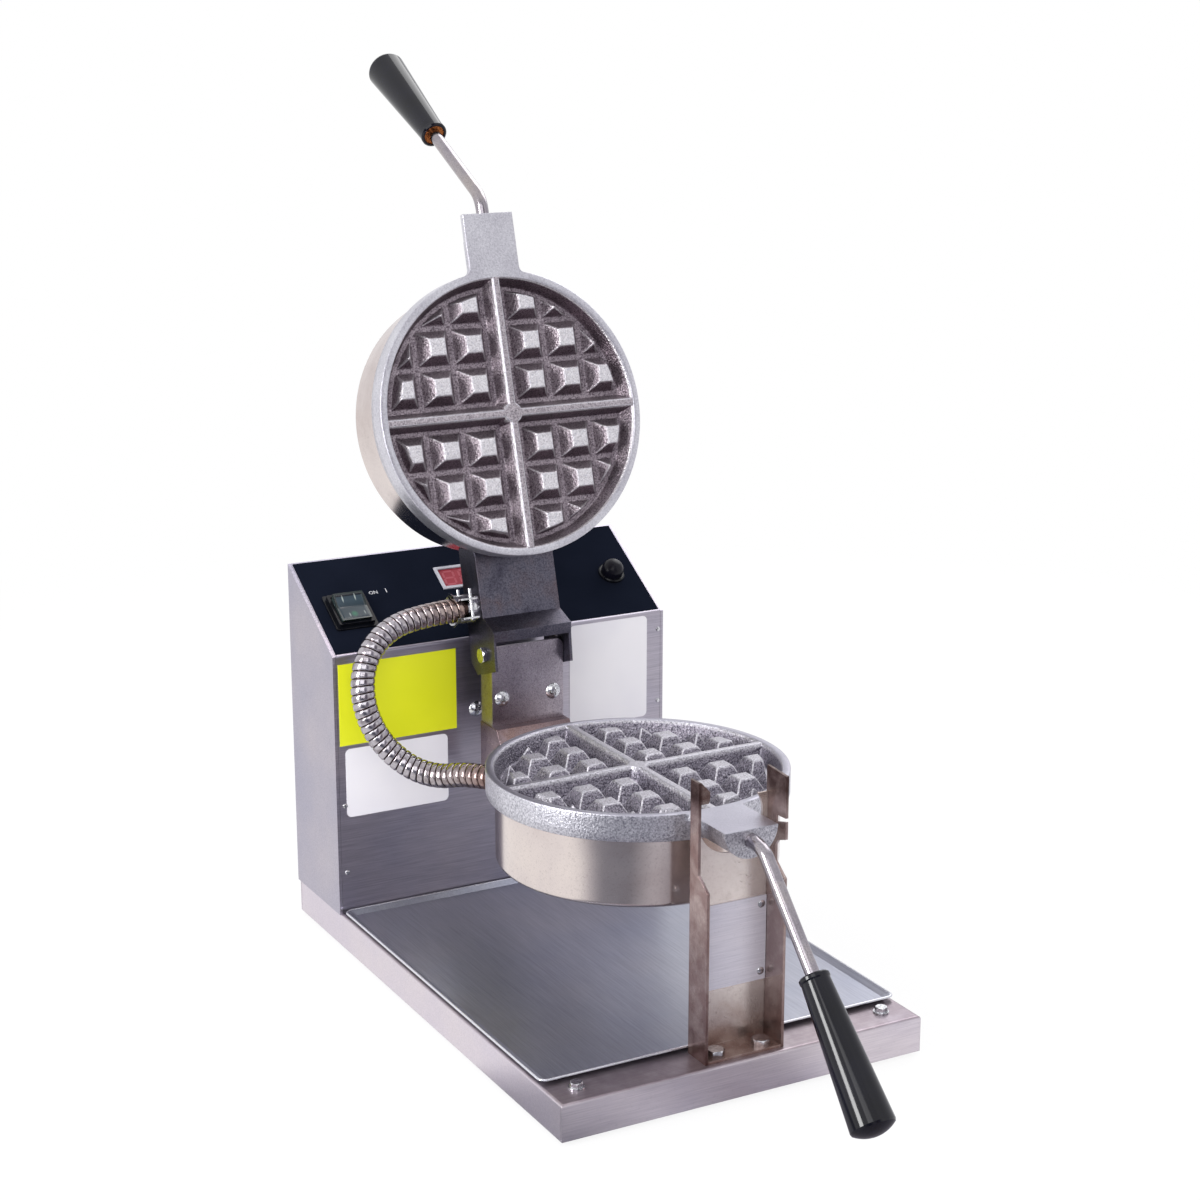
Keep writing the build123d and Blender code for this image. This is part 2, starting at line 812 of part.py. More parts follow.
def make_rocker():
    down = (Align.CENTER, Align.CENTER, Align.MAX)
    opening_width = rocker_width + 2 * part_gap
    opening_length = rocker_length + 2 * part_gap
    flange = Box(rocker_frame_width, rocker_frame_length, rocker_flange_thick, align=ALIGN_UP)
    flange = fillet(flange.edges().filter_by(Axis.Z), rocker_flange_corner)
    raised = Box(
        opening_width + 2 * rocker_wall, opening_length + 2 * rocker_wall, rocker_frame_rise, align=ALIGN_UP
    )
    raised = fillet(raised.edges().filter_by(Axis.Z), rocker_corner)
    body = Box(
        rocker_body_width() - 2 * seat_gap,
        rocker_body_length() - 2 * seat_gap,
        rocker_body_depth + film_thick,
        align=down,
    )
    housing = flange + raised + body
    cavity = Box(opening_width, opening_length, rocker_cavity, align=down)
    housing -= Pos(0, 0, rocker_frame_rise + 1) * cavity
    pin = Rot(0, 90, 0) * Cylinder(rocker_pin_radius + running_gap, rocker_body_width() - rocker_pin_hold)
    housing -= Pos(0, 0, -rocker_pivot_depth) * pin
    parts["rocker_housing"] = on_panel(housing, rocker_x, rocker_up, film_thick)

    end = rocker_length / 2 - part_gap
    side = [
        (-end, rocker_end_rise),
        (0, rocker_middle_rise),
        (end, rocker_end_rise),
        (end - rocker_undercut, rocker_end_rise - rocker_end_face),
        (end - rocker_foot_inset, 0),
        (0, -rocker_keel),
        (-end + rocker_foot_inset, 0),
        (-end + rocker_undercut, rocker_end_rise - rocker_end_face),
    ]
    paddle = side_profile(side, -rocker_width / 2, rocker_width / 2)
    pin_length = rocker_body_width() - rocker_pin_hold - rocker_pin_play
    pin = Rot(0, 90, 0) * Cylinder(rocker_pin_radius, pin_length)
    paddle += Pos(0, 0, -rocker_pivot_depth) * pin
    tilt = Pos(0, 0, -rocker_pivot_depth) * Rot(rocker_throw / 2, 0, 0) * Pos(0, 0, rocker_pivot_depth)
    parts["power_rocker"] = on_panel(tilt * paddle, rocker_x, rocker_up, film_thick)


def make_button():
    hole = button_radius + running_gap
    ring = Cylinder(button_ring_radius, button_ring_rise, align=ALIGN_UP)
    ring = chamfer(ring.edges().group_by(Axis.Z)[-1], button_ring_edge)
    ring -= Cylinder(hole, cut_through)
    parts["button_ring"] = on_panel(ring, button_x, button_up, film_thick)

    cap = Pos(0, 0, -button_skirt) * Cylinder(button_radius, button_straight + button_skirt, align=ALIGN_UP)
    cap += Pos(0, 0, button_straight) * dome_head(button_radius, button_dome)
    stem_end = button_stem_short - button_body_depth
    cap += Pos(0, 0, stem_end) * Cylinder(button_stem_radius, -stem_end, align=ALIGN_UP)
    parts["start_button"] = on_panel(cap, button_x, button_up, film_thick)

    bottom = -button_body_depth
    seat = -button_travel - button_seat_drop
    body = Pos(0, 0, bottom) * Cylinder(
        button_radius + button_wall - seat_gap, film_thick - bottom, align=ALIGN_UP
    )
    body -= Pos(0, 0, seat) * Cylinder(hole, cut_through, align=ALIGN_UP)
    stem_hole = Cylinder(button_stem_radius + running_gap, cut_through, align=ALIGN_UP)
    body -= Pos(0, 0, bottom + button_floor) * stem_hole
    parts["button_body"] = on_panel(body, button_x, button_up, 0)

    coil_inner = button_stem_radius + spring_play
    coil = Cylinder(coil_inner + spring_wire, film_thick - button_skirt - seat, align=ALIGN_UP)
    coil -= Cylinder(coil_inner, cut_through)
    parts["button_spring"] = on_panel(coil, button_x, button_up, seat)


def make_display():
    lip = 2 * display_lip
    frame = Box(display_width + lip, display_height + lip, display_lip, align=ALIGN_UP)
    frame -= Box(display_width - lip, display_height - lip, cut_through)
    parts["display_frame"] = on_panel(frame, 0, display_up, film_thick)
    width = display_width - 2 * part_gap
    height = display_height - 2 * part_gap
    window = Box(width, height, display_depth + film_thick, align=ALIGN_UP)
    parts["display_window"] = on_panel(window, 0, display_up, -display_depth)


def board_post_places():
    return [
        (x, board_up + up)
        for x in (-board_width / 2 + board_post_inset, board_width / 2 - board_post_inset)
        for up in (-board_length / 2 + board_post_inset, board_length / 2 - board_post_inset)
    ]


def make_electronics():
    """The controller board hangs on four posts under the cover, with the display on it."""
    board = Pos(0, board_up, -display_depth - board_thick / 2) * Box(board_width, board_length, board_thick)
    parts["controller_board"] = panel * board
    length = display_depth - sheet
    posts = [
        on_panel(Cylinder(board_post_radius, length, align=ALIGN_UP), x, up, -display_depth)
        for x, up in board_post_places()
    ]
    parts["board_posts"] = group(posts)
    x0, x1, depth, height = terminal_box
    y1 = base_depth - terminal_back_inset
    y0 = y1 - depth
    strip = block(x0, x1, y0, y1, deck_top, deck_top + height)
    for n in range(terminal_count):
        start = x0 + terminal_wall + n * terminal_pitch
        end = start + terminal_pitch - terminal_wall - 1.0
        strip -= block(start, end, y0 - 1, (y0 + y1) / 2 - 2, deck_top + height / 2, deck_top + height + 1)
    parts["terminal_block"] = strip


# Turn shaft and bearing


def housing_screw_places():
    """Three screws round the bearing, one of them at the top."""
    angles = [math.radians(a) for a in housing_screw_angles]
    return [
        (housing_screw_circle * math.cos(a), axis_height + housing_screw_circle * math.sin(a))
        for a in angles
    ]


def make_bearing():
    start = box_front_y + sheet
    bush_outer = shaft_radius + bush_wall
    housing = along_y(0, axis_height, start, start + housing_flange_thick, housing_flange_radius)
    housing += along_y(0, axis_height, start, start + housing_length, housing_radius)
    housing -= along_y(0, axis_height, start - 1, start + housing_length + 1, bush_outer + seat_gap)
    screws = []
    for x, z in housing_screw_places():
        housing -= along_y(x, z, start - 1, start + housing_flange_thick + 1, small_screw_radius + seat_gap)
        screw = along_y(x, z, box_front_y, start + housing_flange_thick + 2, small_screw_radius)
        screw += Pos(x, box_front_y, z) * Rot(90, 0, 0) * cross_head(pan_head_radius, pan_head_height)
        screws.append(screw)
    post_z = axis_height - stop_post_radius - stop_lug / 2 - part_gap
    post_x = -(collar_radius + stop_post_radius + stop_post_play)
    housing += along_y(post_x, post_z, start, shaft_end_y - 3, stop_post_radius)
    parts["bearing_housing"] = housing
    parts["housing_screws"] = group(screws)
    bush = along_y(0, axis_height, start, start + housing_length, bush_outer)
    bush -= along_y(0, axis_height, start - 1, start + housing_length + 1, shaft_radius + running_gap)
    parts["turn_bush"] = bush


def make_shaft():
    plate_y = upright_front_y + hinge_sheet
    half = shaft_flange_half
    low = axis_height - step_rise + hinge_sheet + part_gap
    flange = block(-half, half, plate_y, plate_y + shaft_flange_thick, low, axis_height + half)
    shaft = flange + along_y(0, axis_height, plate_y, shaft_end_y, shaft_radius)
    shaft -= along_y(0, axis_height, plate_y + 1, shaft_end_y + 1, shaft_bore)
    for x in (-hinge_screw_x, hinge_screw_x):
        z = axis_height + hinge_screw_rise
        shaft -= along_y(x, z, plate_y - 1, plate_y + shaft_flange_thick + 1, hinge_screw_radius + seat_gap)
    parts["turn_shaft"] = shaft
    collar_end = shaft_end_y - 1.0
    collar_start = collar_end - collar_length
    collar = along_y(0, axis_height, collar_start, collar_end, collar_radius)
    collar += block(
        -collar_radius - stop_lug,
        0,
        collar_start,
        collar_end,
        axis_height - stop_lug / 2,
        axis_height + stop_lug / 2,
    )
    collar -= along_y(0, axis_height, collar_start - 1, collar_end + 1, shaft_radius + seat_gap)
    parts["stop_collar"] = collar


# Hinge brackets


def saddle(x_half, z0, z1):
    """The curved plate of a hinge bracket that lies on the round shell."""
    inner = shell_radius + saddle_gap
    ring = Pos(0, iron_y, (z0 + z1) / 2) * Cylinder(inner + hinge_sheet, z1 - z0)
    ring -= Pos(0, iron_y, (z0 + z1) / 2) * Cylinder(inner, z1 - z0 + 2)
    return ring & block(-x_half, x_half, iron_y, iron_y + 2 * iron_radius, z0, z1)


def profile_at(points):
    """Turn rises above the turn axis into heights."""
    return [(y, axis_height + rise) for y, rise in points]


def outside_shell(shape):
    """Keep what lies outside the shell and the gap to it."""
    return shape - Pos(0, iron_y, axis_height) * Cylinder(shell_radius + saddle_gap, 4 * shell_depth)


def make_lower_bracket():
    t = hinge_sheet
    start = iron_y + shell_radius - hinge_overlap
    cheek_points = profile_at(
        [
            (start, -cheek_top_rise),
            (cheek_back_y, -cheek_top_rise),
            (cheek_back_y, -step_rise),
            (step_y, -step_rise),
            (web_back_y, -web_rise),
            (start, -web_rise),
        ]
    )
    cheeks = side_profile(cheek_points, -cheek_outer, -cheek_outer + t)
    cheeks += side_profile(cheek_points, cheek_outer - t, cheek_outer)
    web_points = profile_at(
        [
            (start, -web_rise),
            (web_back_y, -web_rise),
            (step_y, -step_rise),
            (cheek_back_y, -step_rise),
            (cheek_back_y, -step_rise - t),
            (step_y + t / 2, -step_rise - t),
            (web_back_y + t / 2, -web_rise - t),
            (start, -web_rise - t),
        ]
    )
    web = side_profile(web_points, -cheek_outer + t, cheek_outer - t)
    bracket = outside_shell(cheeks + web)
    bracket += saddle(cheek_outer, axis_height - cheek_top_rise, axis_height - saddle_low)
    parts["lower_hinge_bracket"] = bracket


def make_upright():
    t = hinge_sheet
    low = axis_height - step_rise
    top = axis_height + upright_top
    half = upright_half_width
    face = block(-half, half, upright_front_y, upright_front_y + t, low, top)
    corners = [e for e in face.edges().filter_by(Axis.Y) if e.center().Z > top - 1]
    face = fillet(corners, upright_corner)
    wing_points = [
        (upright_front_y, low),
        (cheek_back_y, low),
        (cheek_back_y, top - wing_corner_drop),
        (cheek_back_y - wing_corner_run, top),
        (upright_front_y + upright_corner, top),
        (upright_front_y, top - upright_corner),
    ]
    wings = side_profile(wing_points, -half, -half + t) + side_profile(wing_points, half - t, half)
    floor = block(-half, half, upright_front_y, cheek_back_y, low, low + t)
    upright = face + wings + floor
    upright -= along_x(pivot_y, pivot_z, -half - 1, half + 1, pivot_radius + seat_gap)
    for x in (-hinge_screw_x, hinge_screw_x):
        z = axis_height + hinge_screw_rise
        upright -= along_y(x, z, upright_front_y - 1, upright_front_y + t + 1, hinge_screw_radius + seat_gap)
    parts["hinge_upright"] = upright

    fronts = []
    for x in (-hinge_screw_x, hinge_screw_x):
        z = axis_height + hinge_screw_rise
        tip = upright_front_y + t + shaft_flange_thick + 1
        screw = along_y(x, z, upright_front_y, tip, hinge_screw_radius)
        screw += Pos(x, upright_front_y, z) * Rot(90, 0, 0) * cross_head(pan_head_radius, pan_head_height)
        fronts.append(screw)
    parts["hinge_screws"] = group(fronts)


def make_pivot():
    outer = lid_cheek_outer + part_gap
    bolt = along_x(pivot_y, pivot_z, -outer, outer + nut_height + 1, pivot_radius)
    bolt += Pos(-outer, pivot_y, pivot_z) * Rot(0, -90, 0) * hex_prism(bracket_bolt_flats, pivot_head_height)
    nut = Pos(outer, pivot_y, pivot_z) * Rot(0, 90, 0) * hex_prism(bracket_bolt_flats, nut_height)
    nut -= along_x(pivot_y, pivot_z, outer - 1, outer + nut_height + 1, pivot_radius + seat_gap)
    parts["pivot_bolt"] = group([bolt, nut])


def make_upper_bracket():
    t = hinge_sheet
    half = lid_cheek_outer
    start = iron_y + shell_radius - hinge_overlap
    cheek_points = profile_at(
        [
            (start, web_rise),
            (web_back_y, web_rise),
            (step_y, step_rise),
            (lip_y, lip_rise),
            *[(pivot_y + y, pivot_rise + rise) for y, rise in lid_cheek_corners],
            (start, cheek_top_rise),
        ]
    )
    cheeks = side_profile(cheek_points, -half, -half + t)
    cheeks += side_profile(cheek_points, half - t, half)
    web_points = profile_at(
        [
            (start, web_rise),
            (web_back_y, web_rise),
            (step_y, step_rise),
            (lip_y, lip_rise),
            (lip_y, lip_rise + t),
            (step_y + t / 2, step_rise + t),
            (web_back_y + t / 2, web_rise + t),
            (start, web_rise + t),
        ]
    )
    web = side_profile(web_points, -half + t, half - t)
    bracket = outside_shell(cheeks + web)
    bracket += saddle(half, axis_height + saddle_low, axis_height + cheek_top_rise)
    bracket -= along_x(pivot_y, pivot_z, -half - 1, half + 1, pivot_radius + running_gap)
    fitting_z = axis_height + upper_fitting_rise
    bracket -= along_x(upper_fitting_y, fitting_z, -half - 1, -half + t + 1, conduit_hole)
    parts["upper_hinge_bracket"] = opened(bracket)


# Irons


def pyramid(x, y):
    """One blunt pyramid of the waffle grid, rooted below the recess floor."""
    height = recess_depth - pyramid_drop
    lean = math.degrees(math.atan2((pyramid_base - pyramid_top) / 2, height))
    base = pyramid_base + 2 * grid_root * math.tan(math.radians(lean))
    solid = extrude(Rectangle(base, base), amount=height + grid_root, taper=lean)
    return Pos(x, iron_y + y, axis_height - recess_depth - grid_root) * solid


def grid_edge():
    """The round outline of the grid, whose outer pyramids end in a steep cut."""
    height = recess_depth - pyramid_drop
    low = grid_edge_radius + grid_root * grid_edge_run / height
    cone = Cone(low, grid_edge_radius - grid_edge_run, height + grid_root, align=ALIGN_UP)
    return Pos(0, iron_y, axis_height - recess_depth - grid_root) * cone


def divider(angle):
    """One sloping sided ridge right across the recess."""
    height = recess_depth - divider_drop
    grow = grid_root * (divider_base - divider_top) / 2 / height
    half_low = divider_base / 2 + grow
    half_top = divider_top / 2
    reach = iron_radius
    points = [
        (-half_low, axis_height - recess_depth - grid_root),
        (half_low, axis_height - recess_depth - grid_root),
        (half_top, axis_height - divider_drop),
        (-half_top, axis_height - divider_drop),
    ]
    ridge = front_profile(points, -reach, reach)
    return Pos(0, iron_y, 0) * Rot(0, 0, angle) * ridge


def grid_places():
    """Centres of the pyramids in both directions, out to where the round outline cuts them off."""
    steps = [pyramid_first + n * pyramid_pitch for n in range(3)]
    places = [(sx * a, sy * b) for a in steps for b in steps for sx in (-1, 1) for sy in (-1, 1)]
    limit = grid_edge_radius + pyramid_base / 2
    return [(x, y) for x, y in places if math.hypot(x, y) < limit]


def make_casting():
    """The lower casting: a round plate with the waffle grid and the half round tongue."""
    disc = post(0, iron_y, casting_bottom, casting_top, iron_radius)
    disc = fillet(disc.edges().sort_by(Axis.Z)[0], casting_edge)
    mouth = Pos(0, iron_y, casting_top - recess_depth) * Cone(
        recess_floor_radius, recess_top_radius, recess_depth, align=ALIGN_UP
    )
    edge = grid_edge()
    for x, y in grid_places():
        mouth -= pyramid(x, y) & edge
    for angle in (0, 90):
        mouth -= divider(angle)
    height = recess_depth - divider_drop
    boss = Cone(boss_base_radius, boss_radius, height, align=ALIGN_UP)
    mouth -= Pos(0, iron_y, axis_height - divider_drop - height) * boss

    tongue_end = iron_y - iron_radius + tongue_overlap
    tongue = along_y(0, axis_height, tongue_front_y, tongue_end, tongue_radius)
    round_it = 2 * tongue_radius
    tongue &= block(-round_it, round_it, 0, iron_y, axis_height - round_it, casting_top)
    casting = disc + tongue_root() - mouth + tongue
    posts = [
        Pos(0, iron_y, 0)
        * Rot(0, 0, a)
        * post(post_circle, 0, shell_bottom + shell_wall, casting_bottom + 1, post_radius)
        for a in post_angles
    ]
    for piece in posts:
        casting += piece
    for cutter in shell_screw_shanks(seat_gap):
        casting -= cutter
    casting -= along_y(
        0, axis_height - rod_drop, tongue_front_y - 1, tongue_front_y + rod_socket, rod_radius + seat_gap
    )
    return casting


def tongue_root():
    """A thin plate under the mating face that rounds the corners between rim and tongue."""
    length = iron_y - tongue_front_y - tongue_root_front
    outline = Circle(iron_radius) + Pos(0, -length / 2) * Rectangle(2 * tongue_radius, length)
    corners = [v for v in outline.vertices() if abs(abs(v.X) - tongue_radius) < 0.01 and v.Y > -length + 1]
    outline = fillet(corners, tongue_fillet)
    inner = Circle(iron_radius - tongue_root_ring)
    return Pos(0, iron_y, casting_top) * extrude(outline - inner, amount=-tongue_fillet_depth)


def shell_screw_shanks(grow):
    tip = shell_bottom + shell_screw_length
    return [
        Pos(0, iron_y, 0) * Rot(0, 0, a) * post(post_circle, 0, shell_bottom, tip, small_screw_radius + grow)
        for a in post_angles
    ]


def make_shell():
    outer = post(0, iron_y, shell_bottom, casting_bottom, shell_radius)
    outer = fillet(outer.edges().sort_by(Axis.Z)[0], shell_edge)
    inner = post(0, iron_y, shell_bottom + shell_wall, casting_bottom + 1, shell_radius - shell_wall)
    inner = fillet(inner.edges().sort_by(Axis.Z)[0], shell_edge - shell_wall)
    shell = outer - inner
    for cutter in shell_screw_shanks(seat_gap):
        shell -= cutter
    return shell


def make_shell_screws():
    screws = []
    for index, a in enumerate(post_angles):
        head = Rot(180, 0, 0) * cross_head(small_head_radius, small_head_height)
        place = Pos(0, iron_y, 0) * Rot(0, 0, a) * Pos(post_circle, 0, shell_bottom)
        screws.append(shell_screw_shanks(0.0)[index] + place * head)
    return group(screws)


def make_heater():
    ring = Torus(heater_circle, heater_radius)
    return Pos(0, iron_y, casting_bottom - heater_radius - seat_gap) * ring


def make_insulation():
    top = casting_bottom - 2 * heater_radius - 2 * seat_gap
    pad = post(0, iron_y, shell_bottom + shell_wall, top, insulation_radius)
    for a in post_angles:
        pad -= Pos(0, iron_y, 0) * Rot(0, 0, a) * post(post_circle, 0, 0, axis_height, post_radius + seat_gap)
    return pad


def rod_corner():
    return Vector(0, rod_corner_y, axis_height - rod_drop)


def make_rod():
    corner = rod_corner()
    start = Vector(0, tongue_front_y + rod_socket - seat_gap, axis_height - rod_drop)
    end = corner + handle_dir * (rod_to_grip + rod_in_grip)
    path = FilletPolyline(start, corner, end, radius=rod_bend_radius)
    section = Plane(origin=start, x_dir=(1, 0, 0), z_dir=(0, -1, 0)) * Circle(rod_radius)
    return sweep(section, path=path)


def grip_plane():
    """At the small end of the grip, looking along it."""
    return Plane(origin=rod_corner() + handle_dir * rod_to_grip, x_dir=(1, 0, 0), z_dir=handle_dir)


def make_grip():
    profile = make_face(
        Polyline(
            (0, 0),
            (grip_small_radius - grip_edge, 0),
            (grip_small_radius, grip_edge),
            (grip_small_radius, grip_collar),
            (grip_small_radius - grip_collar_step, grip_collar + grip_edge),
            (grip_big_radius, grip_length - grip_end_run),
            (grip_big_radius - grip_end_step, grip_length),
            (0, grip_length),
            close=True,
        )
    )
    upright_profile = Plane.XZ * profile
    body = revolve(upright_profile, axis=Axis.Z)
    body += Pos(0, 0, grip_length) * dome_head(grip_big_radius - grip_end_step, grip_dome)
    body -= Cylinder(grip_recess_radius, grip_recess_depth, align=ALIGN_UP)
    body -= Cylinder(rod_radius + seat_gap, rod_in_grip + 1, align=ALIGN_UP)
    return grip_plane() * body


def make_ferrule():
    ring = Cylinder(grip_recess_radius - seat_gap, ferrule_thick, align=ALIGN_UP)
    ring -= Cylinder(rod_radius + seat_gap, cut_through)
    return grip_plane() * Pos(0, 0, grip_recess_depth - ferrule_thick) * ring


def make_irons():
    pieces = {
        "casting": make_casting(),
        "shell": make_shell(),
        "shell_screws": make_shell_screws(),
        "heater": make_heater(),
        "insulation": make_insulation(),
        "rod": make_rod(),
        "grip": make_grip(),
        "ferrule": make_ferrule(),
    }
    fitting_hole = lower_fitting_place() * Cylinder(conduit_hole, 2 * neck_inside)
    for name, piece in pieces.items():
        lower = piece - fitting_hole if name == "shell" else piece
        parts["lower_" + name] = lower
        parts["upper_" + name] = opened(mirrored(piece))


# Conduit and its fittings


def lower_fitting_place():
    """On the shell wall, Z pointing square out of it."""
    angle = math.radians(lower_fitting_angle)
    out = (math.cos(angle), math.sin(angle), 0)
    origin = (
        shell_radius * math.cos(angle),
        iron_y + shell_radius * math.sin(angle),
        axis_height - lower_fitting_drop,
    )
    return Plane(origin=origin, x_dir=(0, 0, 1), z_dir=out).location


def upper_fitting_place():
    """On the outside of the left cheek, Z pointing to the left."""
    closed = Plane(
        origin=(-lid_cheek_outer, upper_fitting_y, axis_height + upper_fitting_rise),
        x_dir=(0, 0, 1),
        z_dir=(-1, 0, 0),
    )
    swing = Pos(0, pivot_y, pivot_z) * Rot(-open_angle, 0, 0) * Pos(0, -pivot_y, -pivot_z)
    return swing * closed.location


def make_lower_fitting():
    curve_gap = fitting_radius ** 2 / (2 * shell_radius) + saddle_gap
    body = Pos(0, 0, curve_gap) * Cylinder(fitting_radius, fitting_length - curve_gap, align=ALIGN_UP)
    nut = hex_prism(2 * (fitting_radius - fitting_nut_inset), fitting_nut_height)
    body += Pos(0, 0, curve_gap + fitting_nut_start) * nut
    body += Pos(0, 0, -neck_inside) * Cylinder(conduit_hole - neck_play, fitting_length, align=ALIGN_UP)
    body -= Cylinder(conduit_bore, 2 * cut_through)
    parts["lower_conduit_fitting"] = lower_fitting_place() * body


def clamp_saddle(side):
    """Half of the clamp: a half round saddle with a flat ear on each side and a flared mouth."""
    inner = conduit_radius + part_gap
    outer = inner + saddle_sheet
    length = saddle_end - saddle_start
    ear = Pos(0, side * (saddle_ear_rise + saddle_sheet / 2), saddle_start) * Box(
        2 * saddle_ear_reach, saddle_sheet, length, align=ALIGN_UP
    )
    keep = Pos(0, side * (saddle_ear_rise + outer), 0) * Box(4 * outer, 2 * outer, 3 * cut_through)
    ring = Pos(0, 0, saddle_start) * Cylinder(outer, length, align=ALIGN_UP) & keep
    lip_base = Pos(0, 0, saddle_end) * Cone(outer, outer + saddle_lip / 2, saddle_lip, align=ALIGN_UP)
    lip_bore = Pos(0, 0, saddle_end) * Cone(inner, inner + saddle_lip / 2, saddle_lip, align=ALIGN_UP)
    lip = (lip_base - lip_bore) & keep
    saddle_piece = ear + ring + lip
    saddle_piece -= Cylinder(inner, 2 * saddle_end)
    for x in (-clamp_screw_x, clamp_screw_x):
        hole = Rot(90, 0, 0) * Cylinder(clamp_screw_radius + seat_gap, 2 * cut_through)
        saddle_piece -= Pos(x, 0, clamp_screw_z) * hole
    return saddle_piece


def make_upper_fitting():
    """A clamp connector: a locknut and neck on the cheek, two saddles and their screws."""
    nut = hex_prism(2 * locknut_radius, locknut_thick)
    neck_length = neck_inside + upper_fitting_length
    neck = Pos(0, 0, -neck_inside) * Cylinder(conduit_hole - neck_play, neck_length, align=ALIGN_UP)
    body = nut + neck
    body += Pos(0, 0, locknut_thick) * Cylinder(conduit_radius + part_gap, saddle_start, align=ALIGN_UP)
    for side in (-1, 1):
        body += clamp_saddle(side)
    body -= Cylinder(conduit_bore, 3 * cut_through)
    screws = []
    head_seat = saddle_ear_rise + saddle_sheet
    for x in (-clamp_screw_x, clamp_screw_x):
        place = Pos(x, 0, clamp_screw_z) * Rot(-90, 0, 0)
        screw = place * Pos(0, 0, -clamp_screw_top) * Cylinder(
            clamp_screw_radius, clamp_screw_top + head_seat, align=ALIGN_UP
        )
        screw += place * Pos(0, 0, head_seat) * cross_head(clamp_head_radius, small_head_height)
        screws.append(upper_fitting_place() * screw)
    parts["upper_conduit_fitting"] = upper_fitting_place() * body
    parts["clamp_screws"] = group(screws)


def conduit_route():
    """Corners of the conduit's route, from the lower fitting to the upper one."""
    lead = 3 * conduit_radius
    start = lower_fitting_place() * Pos(0, 0, fitting_length)
    first = lower_fitting_place() * Pos(0, 0, fitting_length + lead)
    last = upper_fitting_place() * Pos(0, 0, upper_fitting_length + lead)
    end = upper_fitting_place() * Pos(0, 0, upper_fitting_length)
    middle = [Vector(x, pivot_y + y, pivot_z + z) for x, y, z in conduit_loop]
    return [start.position, first.position, *middle, last.position, end.position]


def corner_radii(points):
    """The largest arc each corner allows."""
    radii = []
    for before, here, after in zip(points, points[1:], points[2:]):
        turn = (here - before).get_angle(after - here)
        shorter = min((here - before).length, (after - here).length)
        radii.append(conduit_corner_share * shorter / math.tan(math.radians(turn / 2)))
    return radii


def section_plane(path, u, steady):
    """A plane square to the path whose X axis keeps to one side."""
    tangent = path % u
    across = (steady - tangent * steady.dot(tangent)).normalized()
    return Plane(origin=path @ u, x_dir=across, z_dir=tangent)


def make_conduit():
    points = conduit_route()
    radii = corner_radii(points)
    path = FilletPolyline(*points, radius=radii)
    print("conduit length", round(path.length, 1), "radii", [round(r, 1) for r in radii])
    steady = Vector(0.1, 1.0, -0.1)
    plain = conduit_plain_end / path.length
    groove = conduit_radius - conduit_groove
    stations = [(0.0, groove)]
    span = (1 - 2 * plain) / conduit_ribs
    for n in range(conduit_ribs):
        at = plain + n * span
        stations += [(at, groove), (at + rib_rise_end * span, conduit_radius)]
        stations += [(at + rib_top_end * span, conduit_radius), (at + rib_fall_end * span, groove)]
    stations.append((1.0, groove))
    rings = [section_plane(path, u, steady) * Circle(r) for u, r in stations]
    skin = loft(rings, ruled=True)
    steps = [u for u, _ in stations[:: 4]] + [1.0]
    bore = loft([section_plane(path, u, steady) * Circle(conduit_bore) for u in steps], ruled=True)
    parts["conduit"] = skin - bore


# Build every piece, move the origin to the middle of the footprint and write the files


def main():
    make_base()
    make_tray()
    make_front_bracket()
    make_front_cover()
    make_side_panels()
    make_back_panel()
    make_stickers()
    make_film()
    make_rocker()
    make_button()
    make_display()
    make_electronics()
    make_bearing()
    make_shaft()
    make_lower_bracket()
    make_upright()
    make_pivot()
    make_upper_bracket()
    make_irons()
    make_lower_fitting()
    make_upper_fitting()
    make_conduit()

    boxes = [s.bounding_box() for name, s in parts.items() if name != "conduit"]
    front = min(b.min.Y for b in boxes)
    back = max(b.max.Y for b in boxes)
    middle_y = (front + back) / 2
    print("origin is", round(middle_y, 3), "behind the front edge of the base")
    print("turn axis at z", axis_height, "pivot at y", round(pivot_y - middle_y, 3), "z", pivot_z)
    os.makedirs("parts", exist_ok=True)
    for name, shape in parts.items():
        export_step(Pos(0, -middle_y, 0) * shape, f"parts/{name}.step")
    print(len(parts), "nodes")


main()
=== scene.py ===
import json
import math

import bpy
import bmesh
import numpy as np
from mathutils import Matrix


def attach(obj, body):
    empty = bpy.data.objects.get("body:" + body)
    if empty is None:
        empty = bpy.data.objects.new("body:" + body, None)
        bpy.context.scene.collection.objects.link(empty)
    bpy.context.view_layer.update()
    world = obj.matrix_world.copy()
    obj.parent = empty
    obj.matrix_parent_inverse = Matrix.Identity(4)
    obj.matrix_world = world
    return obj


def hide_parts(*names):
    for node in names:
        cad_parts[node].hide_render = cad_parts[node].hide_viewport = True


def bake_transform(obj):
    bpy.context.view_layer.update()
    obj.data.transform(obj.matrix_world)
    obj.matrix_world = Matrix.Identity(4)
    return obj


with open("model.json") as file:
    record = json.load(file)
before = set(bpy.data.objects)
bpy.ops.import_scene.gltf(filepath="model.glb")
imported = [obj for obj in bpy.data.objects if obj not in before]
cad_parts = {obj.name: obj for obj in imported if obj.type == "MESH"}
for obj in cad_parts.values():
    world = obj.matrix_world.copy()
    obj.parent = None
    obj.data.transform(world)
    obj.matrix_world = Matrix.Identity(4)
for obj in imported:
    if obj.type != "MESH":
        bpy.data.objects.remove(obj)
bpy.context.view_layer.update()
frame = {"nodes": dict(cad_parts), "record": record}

# Commercial waffle maker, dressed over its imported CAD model.
# Places are written in millimetres from the front edge of the base and turned to metres by inFrame.
mm = 0.001
frontEdge = 207.128

print("frame loaded,", len(frame["nodes"]), "nodes")


# Small helpers

